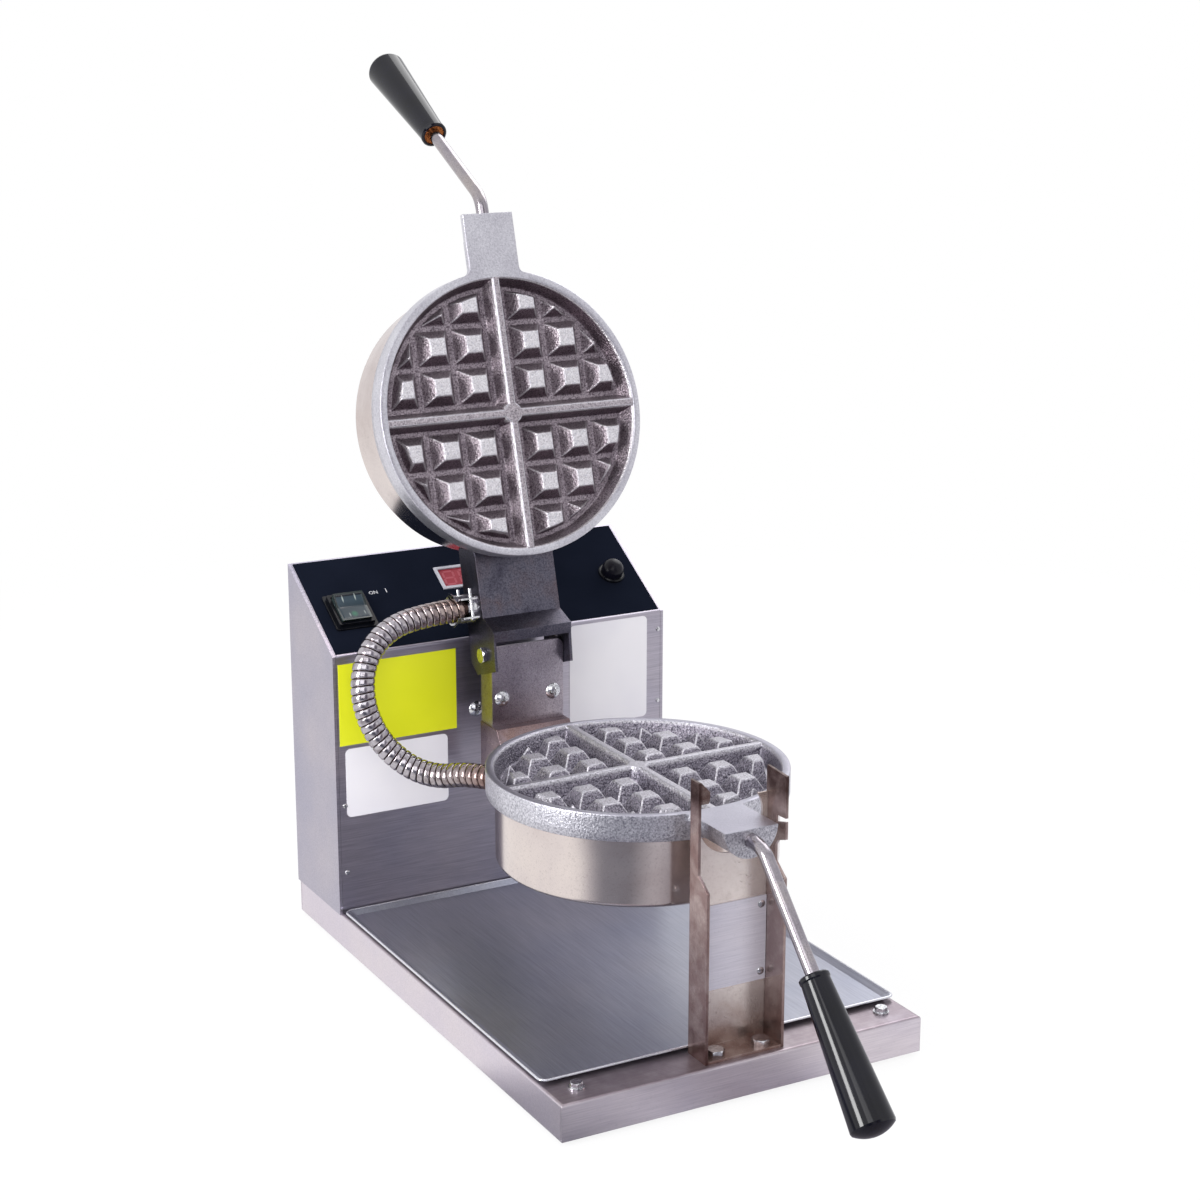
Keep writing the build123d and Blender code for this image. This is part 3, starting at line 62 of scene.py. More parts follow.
def inFrame(points):
    # millimetres from the front edge of the base, to metres in the shared frame
    points = np.asarray(points, float)
    return (points - np.array([0.0, frontEdge, 0.0])) * mm


def linear(code):
    # an sRGB hex colour as the linear colour that the shaders take
    parts = np.array([int(code[i:i + 2], 16) for i in (1, 3, 5)]) / 255
    parts = np.where(parts <= 0.04045, parts / 12.92, ((parts + 0.055) / 1.055) ** 2.4)
    return (*parts.tolist(), 1.0)


def put(tree, kind, settings=None, stops=None):
    # adds one shader node; its operation may stand behind its kind. A setting is a value for a socket or a
    # property, an output to link, or a node whose first output is linked. Stops are a ramp's colours.
    kind, _, operation = kind.partition(" ")
    made = tree.nodes.new("ShaderNode" + kind)
    if operation:
        made.operation = operation
    for name, value in (settings or {}).items():
        if isinstance(value, bpy.types.Node):
            value = value.outputs[0]
        if isinstance(value, bpy.types.NodeSocket):
            tree.links.new(value, made.inputs[name])
        elif isinstance(name, int) or name in made.inputs:
            made.inputs[name].default_value = value
        else:
            setattr(made, name, value)
    if stops:
        ramp = made.color_ramp.elements
        while len(ramp) < len(stops):
            ramp.new(0.5)
        for element, (place, colour) in zip(ramp, stops):
            element.position = place
            element.color = linear(colour) if isinstance(colour, str) else (colour, colour, colour, 1)
    return made


def makeMaterial(name, draw, *look):
    # a material whose shader comes from one of the functions below
    material = bpy.data.materials.new(name)
    material.use_nodes = True
    tree = material.node_tree
    tree.nodes.clear()
    put(tree, "OutputMaterial", {"Surface": draw(tree, *look)})
    return material


def addObject(name, data):
    made = bpy.data.objects.new(name, data)
    bpy.context.scene.collection.objects.link(made)
    return made


def meshPiece(name, points, faces, attributes=None, smooth=True):
    # a mesh from arrays of points and faces, with point attributes
    mesh = bpy.data.meshes.new(name)
    mesh.from_pydata(np.asarray(points).tolist(), [], [list(map(int, face)) for face in faces])
    for key, values in (attributes or {}).items():
        layer = mesh.attributes.new(key, "FLOAT", "POINT")
        layer.data.foreach_set("value", np.asarray(values, np.float32).ravel())
    mesh.polygons.foreach_set("use_smooth", np.full(len(mesh.polygons), smooth))
    mesh.update()
    return addObject(name, mesh)


def gridFaces(rows, columns, closed=False):
    # quads of a grid of rows x columns points, joined round the columns when closed
    r = np.arange(rows - 1)[:, None]
    c = np.arange(columns if closed else columns - 1)[None, :]
    n = (c + 1) % columns
    quads = np.stack([r * columns + c, r * columns + n, (r + 1) * columns + n, (r + 1) * columns + c], -1)
    return quads.reshape(-1, 4)


def joined(groups):
    # several (points, faces) pairs as one, each face numbered after the points before it
    points, faces, count = [], [], 0
    for groupPoints, groupFaces in groups:
        points.append(groupPoints)
        faces += [[v + count for v in face] for face in groupFaces]
        count += len(groupPoints)
    return np.concatenate(points), faces


def meshedCurve(curve):
    # the points and faces of a curve or a text, as Blender meshes it
    holder = addObject(curve.name, curve)
    bpy.context.view_layer.update()
    mesh = bpy.data.meshes.new_from_object(holder)
    points = np.empty(len(mesh.vertices) * 3)
    mesh.vertices.foreach_get("co", points)
    faces = [list(face.vertices) for face in mesh.polygons]
    bpy.data.objects.remove(holder)
    bpy.data.meshes.remove(mesh)
    return points.reshape(-1, 3), faces


# Camera

camera = {
    "place": (-0.773466, -1.417444, 0.721170),
    "pitch": 0.2580,
    "yaw": 0.5001,
    "lens": 70.863,
    "sensor": 36.0,
}


def makeCamera():
    lens = bpy.data.cameras.new("camera")
    lens.lens = camera["lens"]
    lens.sensor_width = camera["sensor"]
    lens.sensor_fit = "HORIZONTAL"
    lens.clip_end = 50
    holder = addObject("camera", lens)
    holder.location = camera["place"]
    holder.rotation_euler = (math.pi / 2 - camera["pitch"], 0, -camera["yaw"])
    bpy.context.scene.camera = holder


makeCamera()
print("camera set")


# Flexible conduit between the two irons

hose = {
    # corners of the route, as in the part's source, in metres
    "route": [
        (-0.05933, 0.041922, 0.1582), (-0.07339, 0.065322, 0.1582), (-0.0873, 0.085372, 0.1514),
        (-0.1048, 0.101872, 0.1573), (-0.1221, 0.114172, 0.1767), (-0.1315, 0.121872, 0.2051),
        (-0.1263, 0.129272, 0.2349), (-0.1047, 0.133772, 0.2561), (-0.0688, 0.134872, 0.26205),
        (-0.0415, 0.134872, 0.26205),
    ],
    # the places on the route between which it passes from the lower iron to the upper iron
    "bendFrom": (-0.0688, 0.114172, 0.178),
    "bendTo": (-0.0688, 0.134872, 0.252),
    "radius": 9.1,
    "turns": 48,
    "around": 56,
    # one turn of the wound strip: place in the turn, height under its crest
    "strip": [(0.0, -0.9), (0.04, -0.4), (0.1, -0.1), (0.24, -0.02), (0.44, 0.0), (0.64, -0.04),
              (0.8, -0.15), (0.87, -0.42), (0.91, -0.9), (0.955, -1.0)],
    # the last millimetres at each end, where the strip tapers under its fitting, and how deep
    "taper": 3.0,
    "tapered": -0.95,
    # a direction that the hose never runs in, to measure the angle round it from
    "steady": (0.1, 1.0, -0.1),
}


def hoseLine():
    # the route's NURBS spline as closely spaced points
    curve = bpy.data.curves.new("hoseRoute", "CURVE")
    curve.dimensions = "3D"
    spline = curve.splines.new("NURBS")
    spline.points.add(len(hose["route"]) - 1)
    spline.points.foreach_set("co", np.array([(*p, 1.0) for p in hose["route"]]).ravel())
    spline.order_u = 3
    spline.use_endpoint_u = True
    spline.resolution_u = 40
    return meshedCurve(curve)[0]


def makeHose():
    # a strip wound round the line: at turn u and angle a the point stands at length (u + a / 360) turns,
    # out from the line by the radius of the strip's profile
    line = hoseLine()
    steps = np.linalg.norm(np.diff(line, axis=0), axis=1)
    reach = np.concatenate([[0], np.cumsum(steps)])
    length = reach[-1]
    places, heights = np.array(hose["strip"]).T
    turns = hose["turns"] + 2
    u = (np.arange(turns)[:, None] + places[None, :]).ravel() - 1.0
    angle = np.arange(hose["around"]) / hose["around"]
    along = (u[:, None] + angle[None, :]) / hose["turns"] * length
    rise = np.tile(np.tile(heights, turns)[:, None], (1, len(angle)))
    ends = np.minimum(along, length - along) / (hose["taper"] * mm)
    rise = np.where(ends < 1, np.minimum(rise, hose["tapered"]), rise)
    along = np.clip(along, 0, length)
    centre = np.stack([np.interp(along, reach, line[:, k]) for k in range(3)], -1)
    slope = np.gradient(line, reach, axis=0)
    tangent = np.stack([np.interp(along, reach, slope[:, k]) for k in range(3)], -1)
    tangent /= np.linalg.norm(tangent, axis=-1, keepdims=True)
    steady = np.array(hose["steady"])
    across = steady - tangent * (tangent @ steady)[..., None]
    across /= np.linalg.norm(across, axis=-1, keepdims=True)
    third = np.cross(tangent, across)
    turn = (angle * 2 * math.pi)[None, :, None]
    out = across * np.cos(turn) + third * np.sin(turn)
    points = centre + out * ((hose["radius"] + rise) * mm)[..., None]

    # the last column of one turn meets the first column of the next
    perTurn = len(places)
    rows, columns = along.shape
    index = np.arange(rows * columns).reshape(rows, columns)
    after = np.concatenate([index[:, 1:], np.roll(index[:, :1], -perTurn, axis=0)], axis=1)
    end = rows - perTurn
    quads = np.stack([index[:end - 1], after[:end - 1], after[1:end], index[1:end]], -1).reshape(-1, 4)
    piece = meshPiece("windingHose", points.reshape(-1, 3), quads, {
        "along": along / length,
        "dip": np.clip(-rise, 0, 1),
    })
    work = bmesh.new()
    work.from_mesh(piece.data)
    bmesh.ops.remove_doubles(work, verts=work.verts, dist=1e-6)
    bmesh.ops.dissolve_degenerate(work, edges=work.edges, dist=1e-7)
    bmesh.ops.holes_fill(work, edges=[e for e in work.edges if e.is_boundary], sides=0)
    bmesh.ops.recalc_face_normals(work, faces=work.faces)
    work.to_mesh(piece.data)
    work.free()
    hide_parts("conduit")
    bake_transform(piece)
    print("hose", round(length * 1000, 1), "mm long,", len(piece.data.polygons), "faces")
    return piece


hosePiece = makeHose()


# Waffle grid of both irons, rounded as a sand casting is

waffle = {
    # its middle, the height of the mating plane, the radii of its mouth and floor, its depth
    "centreY": 150.3,
    "axis": 190.2,
    "mouth": 101.3,
    "floor": 96.2,
    "depth": 14.0,
    # pyramids: place of the first, pitch, half widths of foot and top, how far under the mating plane
    "first": 23.5,
    "pitch": 29.75,
    "foot": 12.875,
    "top": 6.0,
    "drop": 1.8,
    # the round ramp that ends the grid: radius and run
    "edge": 92.2,
    "edgeRun": 2.8,
    # ridges and boss: half widths of foot and top, how far under the mating plane
    "ridgeFoot": 6.6,
    "ridgeTop": 2.3,
    "ridgeDrop": 0.25,
    "bossFoot": 11.0,
    "bossTop": 7.0,
    # how round the corners of each form are, as a share of its slope
    "softPyramid": 0.028,
    "softEdge": 0.06,
    "softRidge": 0.05,
    "softBoss": 0.07,
    "softWall": 0.05,
    # how round the pyramids' hips are, their meeting with the round ramp and the valleys, and how high the
    # floor is at least
    "softHip": 0.16,
    "softMeet": 0.2,
    "softValley": 0.35,
    "lowest": 0.12,
    # how far the skin stands off the solid, its points' spacing, its least depth
    "skin": 0.2,
    "spacing": 0.63,
    "under": 0.16,
    # height and sizes of the grit, the share of the finer, and where it ends
    "grit": 0.06,
    "gritSizes": (5.5, 2.6),
    "fineShare": 0.6,
    "gritEnd": 101.0,
    "gritFade": 2.0,
    # the skin's outer border dives into the rim: its width, where it starts, over what run, how deep
    "hem": 1.8,
    "hemFrom": 0.25,
    "hemRun": 0.9,
    "hemDrop": 1.4,
    # the slope of a flank that hangs over in full
    "overhang": 1.8,
}
lid = {"pivotY": 326.6, "pivotZ": 228.6, "angle": math.radians(106.0)}


def seated(points, isUpper):
    # points of the lower iron as they are; for the upper iron mirrored over the mating plane and swung
    # back about the pivot to where it stands open
    if not isUpper:
        return points
    c, s = math.cos(lid["angle"]), math.sin(lid["angle"])
    y, z = points[:, 1] - lid["pivotY"], 2 * waffle["axis"] - points[:, 2] - lid["pivotZ"]
    return np.stack([points[:, 0], lid["pivotY"] + c * y + s * z, lid["pivotZ"] - s * y + c * z], -1)


def softRamp(t, softness):
    # rises from 0 to 1 as t does, with both corners rounded over the softness
    low = np.logaddexp(0, t / softness)
    high = np.logaddexp(0, (t - 1) / softness)
    return (low - high) * softness


def softMax(stack, softness):
    # the highest of several surfaces, with the valleys between them filled a little
    return np.logaddexp.reduce(np.stack(stack) / softness, axis=0) * softness


# waves in an octave, how much shorter and lower those of the next are, how far lengths spread, the
# range of phases, and what brings the sum to about 1
noise = {"waves": 7, "shorter": 1.9, "lower": 1.7, "spread": (0.7, 1.3), "phase": 6.28, "sum": 4}


def cloudy(x, y, size, seed, octaves=3):
    # smooth noise: the sum of sin(k (x cos a + y sin a) + phase) over waves in random directions a,
    # about size long
    n = noise
    rng = np.random.default_rng(seed)
    total = np.zeros_like(x)
    for octave in range(octaves):
        for _ in range(n["waves"]):
            a = rng.uniform(0, 2 * math.pi)
            k = 2 * math.pi / (size / n["shorter"] ** octave) * rng.uniform(*n["spread"])
            wave = np.sin(k * (x * math.cos(a) + y * math.sin(a)) + rng.uniform(0, n["phase"]))
            total += wave / n["lower"] ** octave
    return total / n["sum"]


def waffleRise(x, y, seed):
    # height over the mating plane: the highest of the pyramids, the ridges, the boss and the sloping wall,
    # each a rounded ramp from the floor, with grit on top. The outer pyramids are the lower of themselves
    # and of a steep round ramp that ends the grid.
    w = waffle
    skin = w["skin"]
    steps = w["first"] + w["pitch"] * np.arange(3)
    gapX = np.abs(np.abs(x)[..., None] - steps)
    gapY = np.abs(np.abs(y)[..., None] - steps)
    farCell = (gapX.argmin(-1) == 2) & (gapY.argmin(-1) == 2)
    gap = softMax([gapX.min(-1), gapY.min(-1)], w["softHip"])
    r = np.hypot(x, y)
    tall = w["depth"] - w["drop"] + skin
    pyramids = tall * softRamp((w["foot"] + skin - gap) / (w["foot"] - w["top"]), w["softPyramid"])
    cut = tall * softRamp((w["edge"] + skin - r) / w["edgeRun"], w["softEdge"])
    pyramids = np.where(farCell, 0.0, -softMax([-pyramids, -cut], w["softMeet"]))
    ridgeTall = w["depth"] - w["ridgeDrop"] + 0.5 * skin
    run = w["ridgeFoot"] - w["ridgeTop"]
    ridges = [ridgeTall * softRamp((w["ridgeFoot"] + skin - np.abs(v)) / run, w["softRidge"])
              for v in (x, y)]
    run = w["bossFoot"] - w["bossTop"]
    boss = ridgeTall * softRamp((w["bossFoot"] + skin - r) / run, w["softBoss"])
    wall = w["depth"] * softRamp((r + skin - w["floor"]) / (w["mouth"] - w["floor"]), w["softWall"])
    floor = np.full_like(x, w["lowest"])
    rise = softMax([pyramids, *ridges, boss, wall, floor], w["softValley"]) - w["depth"]
    coarse, fine = w["gritSizes"]
    grit = w["grit"] * (cloudy(x, y, coarse, seed) + w["fineShare"] * cloudy(x, y, fine, seed + 1, 2))
    fade = np.clip((w["gritEnd"] - r) / w["gritFade"], 0, 1)
    rise = np.minimum(rise + grit * fade, -w["under"])
    outside = np.clip((r - w["mouth"] - w["hemFrom"]) / w["hemRun"], 0, 1)
    return rise - w["hemDrop"] * outside


def waffleFace(name, body, isUpper, seed):
    w = waffle
    reach = w["mouth"] + w["hem"]
    line = np.arange(-reach, reach + w["spacing"] * 0.5, w["spacing"])
    x, y = np.meshgrid(line, line)
    rise = waffleRise(x, y, seed)
    points = np.stack([x, y + w["centreY"], rise + w["axis"]], -1).reshape(-1, 3)
    quads = gridFaces(len(line), len(line))
    r = np.hypot(points[:, 0], points[:, 1] - w["centreY"])
    quads = quads[(r[quads] < reach).all(1)]
    # how far a point stands over its neighbours two steps off, which marks the edges made lighter by rubbed
    # wear and a painted highlight
    beside = rise[4:, 2:-2] + rise[:-4, 2:-2] + rise[2:-2, 4:] + rise[2:-2, :-4]
    curve = np.zeros_like(rise)
    curve[2:-2, 2:-2] = rise[2:-2, 2:-2] - 0.25 * beside
    # flanks that hang over when the lid stands open, which get a painted shade
    overhang = -np.gradient(rise, w["spacing"], axis=0) / w["overhang"]
    used = np.unique(quads)
    number = np.zeros(len(points), int)
    number[used] = np.arange(len(used))
    quads = number[quads[:, ::-1] if isUpper else quads]
    piece = meshPiece(name, inFrame(seated(points, isUpper)[used]), quads, {
        "height": ((rise + w["depth"]) / w["depth"]).ravel()[used],
        "ridge": np.clip(curve, -1, 1).ravel()[used],
        "overhang": np.clip(overhang, 0, 1).ravel()[used],
    })
    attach(piece, body)
    return piece


rim = {
    # across the rim: radius, height over the mating plane
    "section": [(101.2, -1.2), (101.42, -0.55), (101.6, -0.18), (101.95, -0.03), (104.0, -0.02),
                (105.95, -0.03), (106.25, -0.12), (106.41, -0.3), (106.46, -0.6), (106.46, -6.0),
                (106.46, -12.0), (106.46, -17.2), (106.2, -17.5)],
    "around": 240,
    # near the tongue, between these angles from its middle, the ring sinks into the solid metal
    "sink": 0.35,
    "tongue": (12.5, 16.5),
    # height and size of the pebbles, under what depth they are full, the radius their noise is laid at
    "pebble": 0.05,
    "pebbleSize": 4.0,
    "pebbleFrom": 0.6,
    "radius": 106.0,
}


def castRim(name, body, isUpper, seed):
    # the section carried round a circle, with a little cloudy noise that moves the radius out
    section = np.array(rim["section"])
    angle = np.arange(rim["around"]) / rim["around"] * 2 * math.pi
    fromTongue = np.degrees(np.abs((angle - 1.5 * math.pi + math.pi) % (2 * math.pi) - math.pi))
    low, high = rim["tongue"]
    sink = rim["sink"] * np.clip((high - fromTongue) / (high - low), 0, 1)
    height = section[:, 1][:, None] - sink
    bumps = rim["pebble"] * np.clip(-section[:, 1] / rim["pebbleFrom"], 0, 1)[:, None]
    arc = angle[None, :] * rim["radius"] + 0 * height
    radius = section[:, 0][:, None] - sink + bumps * np.abs(cloudy(arc, height, rim["pebbleSize"], seed))
    x, y = radius * np.cos(angle), waffle["centreY"] + radius * np.sin(angle)
    points = np.stack([x, y, waffle["axis"] + height], -1).reshape(-1, 3)
    quads = gridFaces(len(section), len(angle), closed=True)
    piece = meshPiece(name, inFrame(seated(points, isUpper)), quads if isUpper else quads[:, ::-1])
    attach(piece, body)
    return piece


lowerFace = waffleFace("lowerWaffleFace", "lower_iron", False, 11)
upperFace = waffleFace("upperWaffleFace", "upper_iron", True, 23)
lowerRim = castRim("lowerRim", "lower_iron", False, 31)
upperRim = castRim("upperRim", "upper_iron", True, 37)
print("waffle faces", len(lowerFace.data.polygons), "faces each")


# Small pieces on the control panel, the cover and the tray

panel = {
    "frontY": 359.5,
    "height": 233.5,
    "slope": math.atan2(53.0, 85.5),
    "film": 0.4,
}


def onPanel(points):
    # x, distance up the slope and distance out of it, in millimetres, to metres in the shared frame
    points = np.asarray(points, float)
    c, s = math.cos(panel["slope"]), math.sin(panel["slope"])
    x, up, out = points[..., 0], points[..., 1], points[..., 2]
    y, z = panel["frontY"] + up * c - out * s, panel["height"] + up * s + out * c
    return inFrame(np.stack([x, y, z], -1))


display = {
    "up": 64.2,
    "digits": 4,
    "digitHeight": 13.6,
    "digitWidth": 8.4,
    "pitch": 13.2,
    "bar": 1.7,
    "lean": 0.09,
    "out": 0.46,
    # how far a bar stops short of its corners, in half widths of a bar
    "gap": 0.4,
}


def makeDigits():
    # seven bars to each digit; a bar is a flat six sided strip drawn between two corners
    d = display
    w, h, b = d["digitWidth"] / 2, d["digitHeight"] / 2, d["bar"] / 2
    corners = [((-w, h), (w, h)), ((-w, 0), (w, 0)), ((-w, -h), (w, -h)),
               ((-w, h), (-w, 0)), ((w, h), (w, 0)), ((-w, 0), (-w, -h)), ((w, 0), (w, -h))]
    groups = []
    for digit in range(d["digits"]):
        middle = (digit - (d["digits"] - 1) / 2) * d["pitch"]
        for start, end in corners:
            a, e = np.array(start, float), np.array(end, float)
            go = (e - a) / np.linalg.norm(e - a)
            side = np.array([-go[1], go[0]])
            a, e = a + go * b * d["gap"], e - go * b * d["gap"]
            outline = np.array([a, a + (go + side) * b, e + (side - go) * b,
                                e, e - (go + side) * b, a + (go - side) * b])
            outline[:, 0] += d["lean"] * outline[:, 1] + middle
            flat = np.column_stack([outline[:, 0], outline[:, 1] + d["up"], np.full(6, d["out"])])
            groups.append((onPanel(flat), [[5, 4, 3, 2, 1, 0]]))
    piece = meshPiece("displayDigits", *joined(groups), smooth=False)
    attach(piece, "base")
    return piece


lettering = {
    # word, its left end, its foot up the slope, height of its capitals
    "words": [("ON", -90.0, 57.6, 3.4), ("I", -76.2, 57.6, 4.4)],
    "fontShare": 1.38,
    "out": 0.45,
}


def makeLettering():
    # generic switch words as flat letters laid on the film
    groups = []
    for word, x, up, size in lettering["words"]:
        curve = bpy.data.curves.new("word", "FONT")
        curve.body = word
        curve.size = size * lettering["fontShare"]
        curve.resolution_u = 4
        flat, faces = meshedCurve(curve)
        groups.append((onPanel(flat + np.array([x, up, lettering["out"]])), faces))
    piece = meshPiece("switchLettering", *joined(groups), smooth=False)
    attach(piece, "base")
    return piece


rocker = {
    "x": -111.7,
    "up": 42.4,
    "halfWidth": 11.1,
    "halfLength": 11.9,
    "middle": 6.8,
    "ends": 8.6,
    "end": 12.7,
    "pivot": -1.0,
    "tilt": math.radians(7.0),
    # how round the fold between the halves is, how far the sheet stands off the paddle
    "fold": 0.5,
    "skin": 0.14,
    # how far the border is rounded down, from which share of the half sizes and over what run
    "border": 0.35,
    "borderFrom": 0.9,
    "borderRun": 0.1,
}


def makeRockerWindow():
    # the clear face of the paddle: a sheet that follows its two sloping halves, rounded down at its border
    r = rocker
    s, t = np.meshgrid(np.linspace(-1, 1, 33), np.linspace(-1, 1, 37))
    y = t * r["halfLength"]
    z = r["middle"] + (r["ends"] - r["middle"]) * np.sqrt(y ** 2 + r["fold"]) / r["end"] + r["skin"]
    border = np.clip((np.maximum(np.abs(s), np.abs(t)) - r["borderFrom"]) / r["borderRun"], 0, 1)
    z = z - r["border"] * border ** 2
    c, k = math.cos(r["tilt"]), math.sin(r["tilt"])
    up = y * c - (z - r["pivot"]) * k + r["up"]
    out = y * k + (z - r["pivot"]) * c + r["pivot"] + panel["film"]
    points = onPanel(np.stack([s * r["halfWidth"] + r["x"], up, out], -1)).reshape(-1, 3)
    piece = meshPiece("rockerWindow", points, gridFaces(*s.shape), {"acrossWindow": s, "upWindow": t})
    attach(piece, "rocker")
    return piece


rivets = {
    # x and height on the cover
    "places": [(137.0, 218.6), (137.0, 159.4), (-134.5, 62.6), (-134.5, 116.0), (137.0, 93.0)],
    "radius": 2.0,
    "rise": 0.8,
}


def makeCoverRivets():
    # flat domes: a quarter ellipse turned about each rivet's middle, closed by a fan at its tip
    v = np.linspace(0, math.pi / 2, 7)[:-1]
    a = np.arange(20) / 20 * 2 * math.pi
    last = (len(v) - 1) * len(a)
    fan = [[last + k, last + (k + 1) % len(a), last + len(a)] for k in range(len(a))]
    faces = gridFaces(len(v), len(a), closed=True).tolist() + fan
    groups = []
    for x, z in rivets["places"]:
        radius = rivets["radius"] * np.cos(v)[:, None]
        y = panel["frontY"] - rivets["rise"] * np.sin(v)[:, None] + 0 * a
        ring = np.stack([x + radius * np.cos(a), y, z + radius * np.sin(a)], -1).reshape(-1, 3)
        tip = np.array([[x, panel["frontY"] - rivets["rise"], z]])
        groups.append((inFrame(np.concatenate([ring, tip])), faces))
    piece = meshPiece("coverRivets", *joined(groups))
    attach(piece, "base")
    return piece


trayLip = {
    "halfWidth": 138.55,
    "front": 30.25,
    "back": 356.75,
    "corner": 5.4,
    "height": 32.6,
    # across the lip: out from its middle line, up
    "section": [(0.95, -0.5), (0.9, 0.1), (0.65, 0.5), (0.25, 0.72),
                (-0.25, 0.72), (-0.65, 0.45), (-0.9, 0.0), (-0.95, -0.7)],
}


def makeTrayLip():
    # the rolled edge of the tray: its section carried along a rectangle with round corners
    t = trayLip
    turn = np.linspace(0, math.pi / 2, 9)
    sides = np.arange(4)[:, None] * math.pi / 2 + turn[None, :]
    insetX = t["halfWidth"] - t["corner"]
    insetY = (t["back"] - t["front"]) / 2 - t["corner"]
    centreX = insetX * np.array([1, -1, -1, 1])[:, None] + 0 * sides
    centreY = insetY * np.array([1, 1, -1, -1])[:, None] + 0 * sides + (t["front"] + t["back"]) / 2
    section = np.array(t["section"])
    reach = t["corner"] + section[:, 0][:, None]
    x = centreX.ravel() + reach * np.cos(sides).ravel()
    y = centreY.ravel() + reach * np.sin(sides).ravel()
    z = t["height"] + section[:, 1][:, None] + 0 * x
    points = inFrame(np.stack([x, y, z], -1).reshape(-1, 3))
    piece = meshPiece("trayLip", points, gridFaces(len(section), x.shape[1], closed=True))
    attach(piece, "tray")
    return piece


digits = makeDigits()
letters = makeLettering()
rockerWindow = makeRockerWindow()
coverRivets = makeCoverRivets()
lip = makeTrayLip()
print("panel pieces made")


# Materials. Each is named for what the real one is and how its surface was made.
# A pattern's scale is 1000 over its real size in millimetres.

# sizes of the patterns that all looks of a kind share, in millimetres
patternSize = {"stain": 14.0, "sheetCloud": 70.0, "speck": 1.6, "castCloud": 34.0, "smear": 5.0}
plain = {"data_type": "RGBA"}
multiply = {"data_type": "RGBA", "blend_type": "MULTIPLY"}


def stained(tree, colour, place, stains):
    # tints that come in along one axis between two places in millimetres, broken up by clouds
    parts = put(tree, "SeparateXYZ", {0: place})
    cloud = put(tree, "TexNoise", {"Vector": place, "Scale": 1000 / patternSize["stain"], "Detail": 4.0,
                                   "Roughness": 0.6})
    patchy = put(tree, "MapRange", {"Value": cloud, "From Min": 0.36, "From Max": 0.58, "To Min": 0.75})
    for axis, start, end, tint, amount in stains:
        where = put(tree, "MapRange", {"Value": parts.outputs[axis], "From Min": start * mm,
                                       "From Max": end * mm, "To Max": amount})
        share = put(tree, "Math MULTIPLY", {0: where, 1: patchy})
        colour = put(tree, "Mix", {**multiply, 0: share, 6: colour, 7: linear(tint)}).outputs[2]
    return colour


def bareMetal(tree, colour, metallic, grain, rough, relief, strength, depth, edge):
    # metal whose roughness follows its grain between two values; relief depth and edge radius in mm
    spread = put(tree, "MapRange", {"Value": grain, "To Min": rough[0], "To Max": rough[1]})
    bevel = put(tree, "Bevel", {"samples": 4, "Radius": edge * mm})
    bump = put(tree, "Bump", {"Height": relief, "Normal": bevel, "Strength": strength,
                              "Distance": depth * mm})
    return put(tree, "BsdfPrincipled", {
        "Base Color": colour, "Metallic": metallic, "Roughness": spread, "Normal": bump})


def brushedSheet(tree, look):
    # Stainless sheet brushed in one direction: long fine scratches that spread its reflections.
    # Scratches are about 0.1 mm apart, too fine to show here, so they are drawn at the look's own spacing.
    place = put(tree, "TexCoord").outputs["Object"]
    along = put(tree, "Mapping", {"Vector": place, "Rotation": look.get("turn", (0, 0, 0)),
                                  "Scale": look["grain"]})
    scratch = put(tree, "TexNoise", {"Vector": along, "Scale": 1000 / look["spacing"], "Detail": 4.0,
                                     "Roughness": 0.65})
    cloud = put(tree, "TexNoise", {"Vector": place, "Scale": 1000 / patternSize["sheetCloud"],
                                   "Detail": 3.0})
    speck = put(tree, "TexNoise", {"Vector": place, "Scale": 1000 / patternSize["speck"]})
    streaks = put(tree, "ValToRGB", {"Fac": scratch}, [(0.3, look["dark"]), (0.7, look["light"])])
    clouds = put(tree, "ValToRGB", {"Fac": cloud}, [(0.3, look["cool"]), (0.72, look["warm"])])
    specks = put(tree, "ValToRGB", {"Fac": speck}, [(0.28, 0.8), (0.36, 1.0)])
    clouded = put(tree, "Mix", {**multiply, 0: 1.0, 6: streaks, 7: clouds}).outputs[2]
    colour = put(tree, "Mix", {**multiply, 0: 0.4, 6: clouded, 7: specks}).outputs[2]
    colour = stained(tree, colour, place, look.get("stains", []))
    return bareMetal(tree, colour, look.get("metallic", 1.0), grain=scratch, rough=look["rough"],
                     relief=scratch, strength=look["bump"], depth=0.05, edge=look.get("edge", 0.0))


